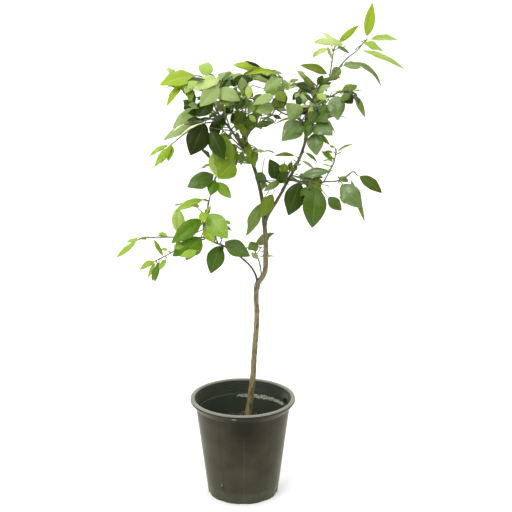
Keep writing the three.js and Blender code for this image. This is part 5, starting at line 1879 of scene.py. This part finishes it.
class LEMON_OT_stage(bpy.types.Operator):
    """Lays the pale floor and sets the soft light and the camera"""

    bl_idname = "lemon.stage"
    bl_label = "Stage"

    def execute(self, context):
        scene = context.scene
        settings = scene.lemon_stage
        self.add_floor(scene, settings)
        self.add_light(scene, settings)
        self.add_camera(scene, settings)
        scene.view_settings.view_transform = "Standard"
        return {"FINISHED"}

    def add_floor(self, scene, settings):
        half = FLOOR_HALF_SIZE
        corners = [(-half, -half, 0), (half, -half, 0), (half, half, 0), (-half, half, 0)]
        mesh = bpy.data.meshes.new("floor")
        mesh.from_pydata(corners, [], [(0, 1, 2, 3)])
        material, tree, output = new_material("matt_white_paper")
        shader = add_node(tree, "BsdfPrincipled", {
            "Base Color": (*settings.floor, 1), "Roughness": 0.9, "IOR": 1.45})
        tree.links.new(shader.outputs["BSDF"], output.inputs["Surface"])
        mesh.materials.append(material)
        floor = bpy.data.objects.new("floor", mesh)
        scene.collection.objects.link(floor)

    def add_light(self, scene, settings):
        """A white room that is brightest behind and above, and at the horizon, and a soft lamp in front."""
        world = bpy.data.worlds.new("white_studio")
        world.use_nodes = True
        tree = world.node_tree
        tree.nodes.clear()
        way = add_node(tree, "TexCoord")
        axes = add_node(tree, "SeparateXYZ", {"Vector": way.outputs["Generated"]})
        wall = add_node(tree, "MapRange", {
            "Value": axes.outputs["Y"], "From Min": -0.6, "From Max": 0.5, "To Min": settings.front,
            "To Max": settings.back})
        ceiling = add_node(tree, "MapRange", {
            "Value": axes.outputs["Z"], "From Min": 0.45, "From Max": 0.9, "To Max": settings.top})
        both = add_node(tree, "Math", {0: wall, 1: ceiling}, operation="ADD")
        horizon = add_node(tree, "MapRange", {
            "Value": axes.outputs["Z"], "From Min": 0.09, "From Max": 0.02})
        brighter = add_node(tree, "Math", {0: both, 1: horizon}, operation="MAXIMUM")
        sky = add_node(tree, "Background", {"Color": (1, 1, 1, 1), "Strength": brighter})
        add_node(tree, "OutputWorld", {"Surface": sky})
        scene.world = world
        light = bpy.data.lights.new("soft_lamp", "AREA")
        light.energy = settings.lamp
        light.size = LAMP_SIZE
        lamp = bpy.data.objects.new("soft_lamp", light)
        scene.collection.objects.link(lamp)
        lamp.location = LAMP_PLACE
        aim = Vector(LAMP_AIM) - Vector(LAMP_PLACE)
        lamp.rotation_euler = aim.to_track_quat("-Z", "Y").to_euler()

    def add_camera(self, scene, settings):
        lens = bpy.data.cameras.new("camera")
        lens.lens = settings.lens
        lens.sensor_width = SENSOR_WIDTH
        camera = bpy.data.objects.new("camera", lens)
        scene.collection.objects.link(camera)
        camera.location = CAMERA_PLACE
        camera.rotation_euler = (math.radians(CAMERA_TILT), 0, 0)
        scene.camera = camera


OPERATORS = (
    LEMON_OT_pot,
    LEMON_OT_limescale,
    LEMON_OT_soil,
    LEMON_OT_limbs,
    LEMON_OT_foliage,
    LEMON_OT_stage,
)
SETTINGS = {
    "lemon_pot": PotSettings,
    "lemon_soil": SoilSettings,
    "lemon_bark": BarkSettings,
    "lemon_leaf": LeafSettings,
    "lemon_stage": StageSettings,
}


class LEMON_PT_panel(bpy.types.Panel):
    """Lists the steps that build the tree"""

    bl_label = "Lemon tree"
    bl_idname = "LEMON_PT_panel"
    bl_space_type = "VIEW_3D"
    bl_region_type = "UI"
    bl_category = "Lemon tree"

    def draw(self, context):
        for operator in OPERATORS:
            self.layout.operator(operator.bl_idname)


def register():
    for cls in (*SETTINGS.values(), *OPERATORS, LEMON_PT_panel):
        bpy.utils.register_class(cls)
    for name, cls in SETTINGS.items():
        setattr(bpy.types.Scene, name, PointerProperty(type=cls))


def unregister():
    for name in SETTINGS:
        delattr(bpy.types.Scene, name)
    for cls in (LEMON_PT_panel, *reversed(OPERATORS), *reversed(SETTINGS.values())):
        bpy.utils.unregister_class(cls)


def main():
    register()
    bpy.ops.lemon.pot()
    bpy.ops.lemon.limescale()
    bpy.ops.lemon.soil()
    bpy.ops.lemon.limbs()
    bpy.ops.lemon.foliage()
    bpy.ops.lemon.stage()


if __name__ == "__main__":
    main()
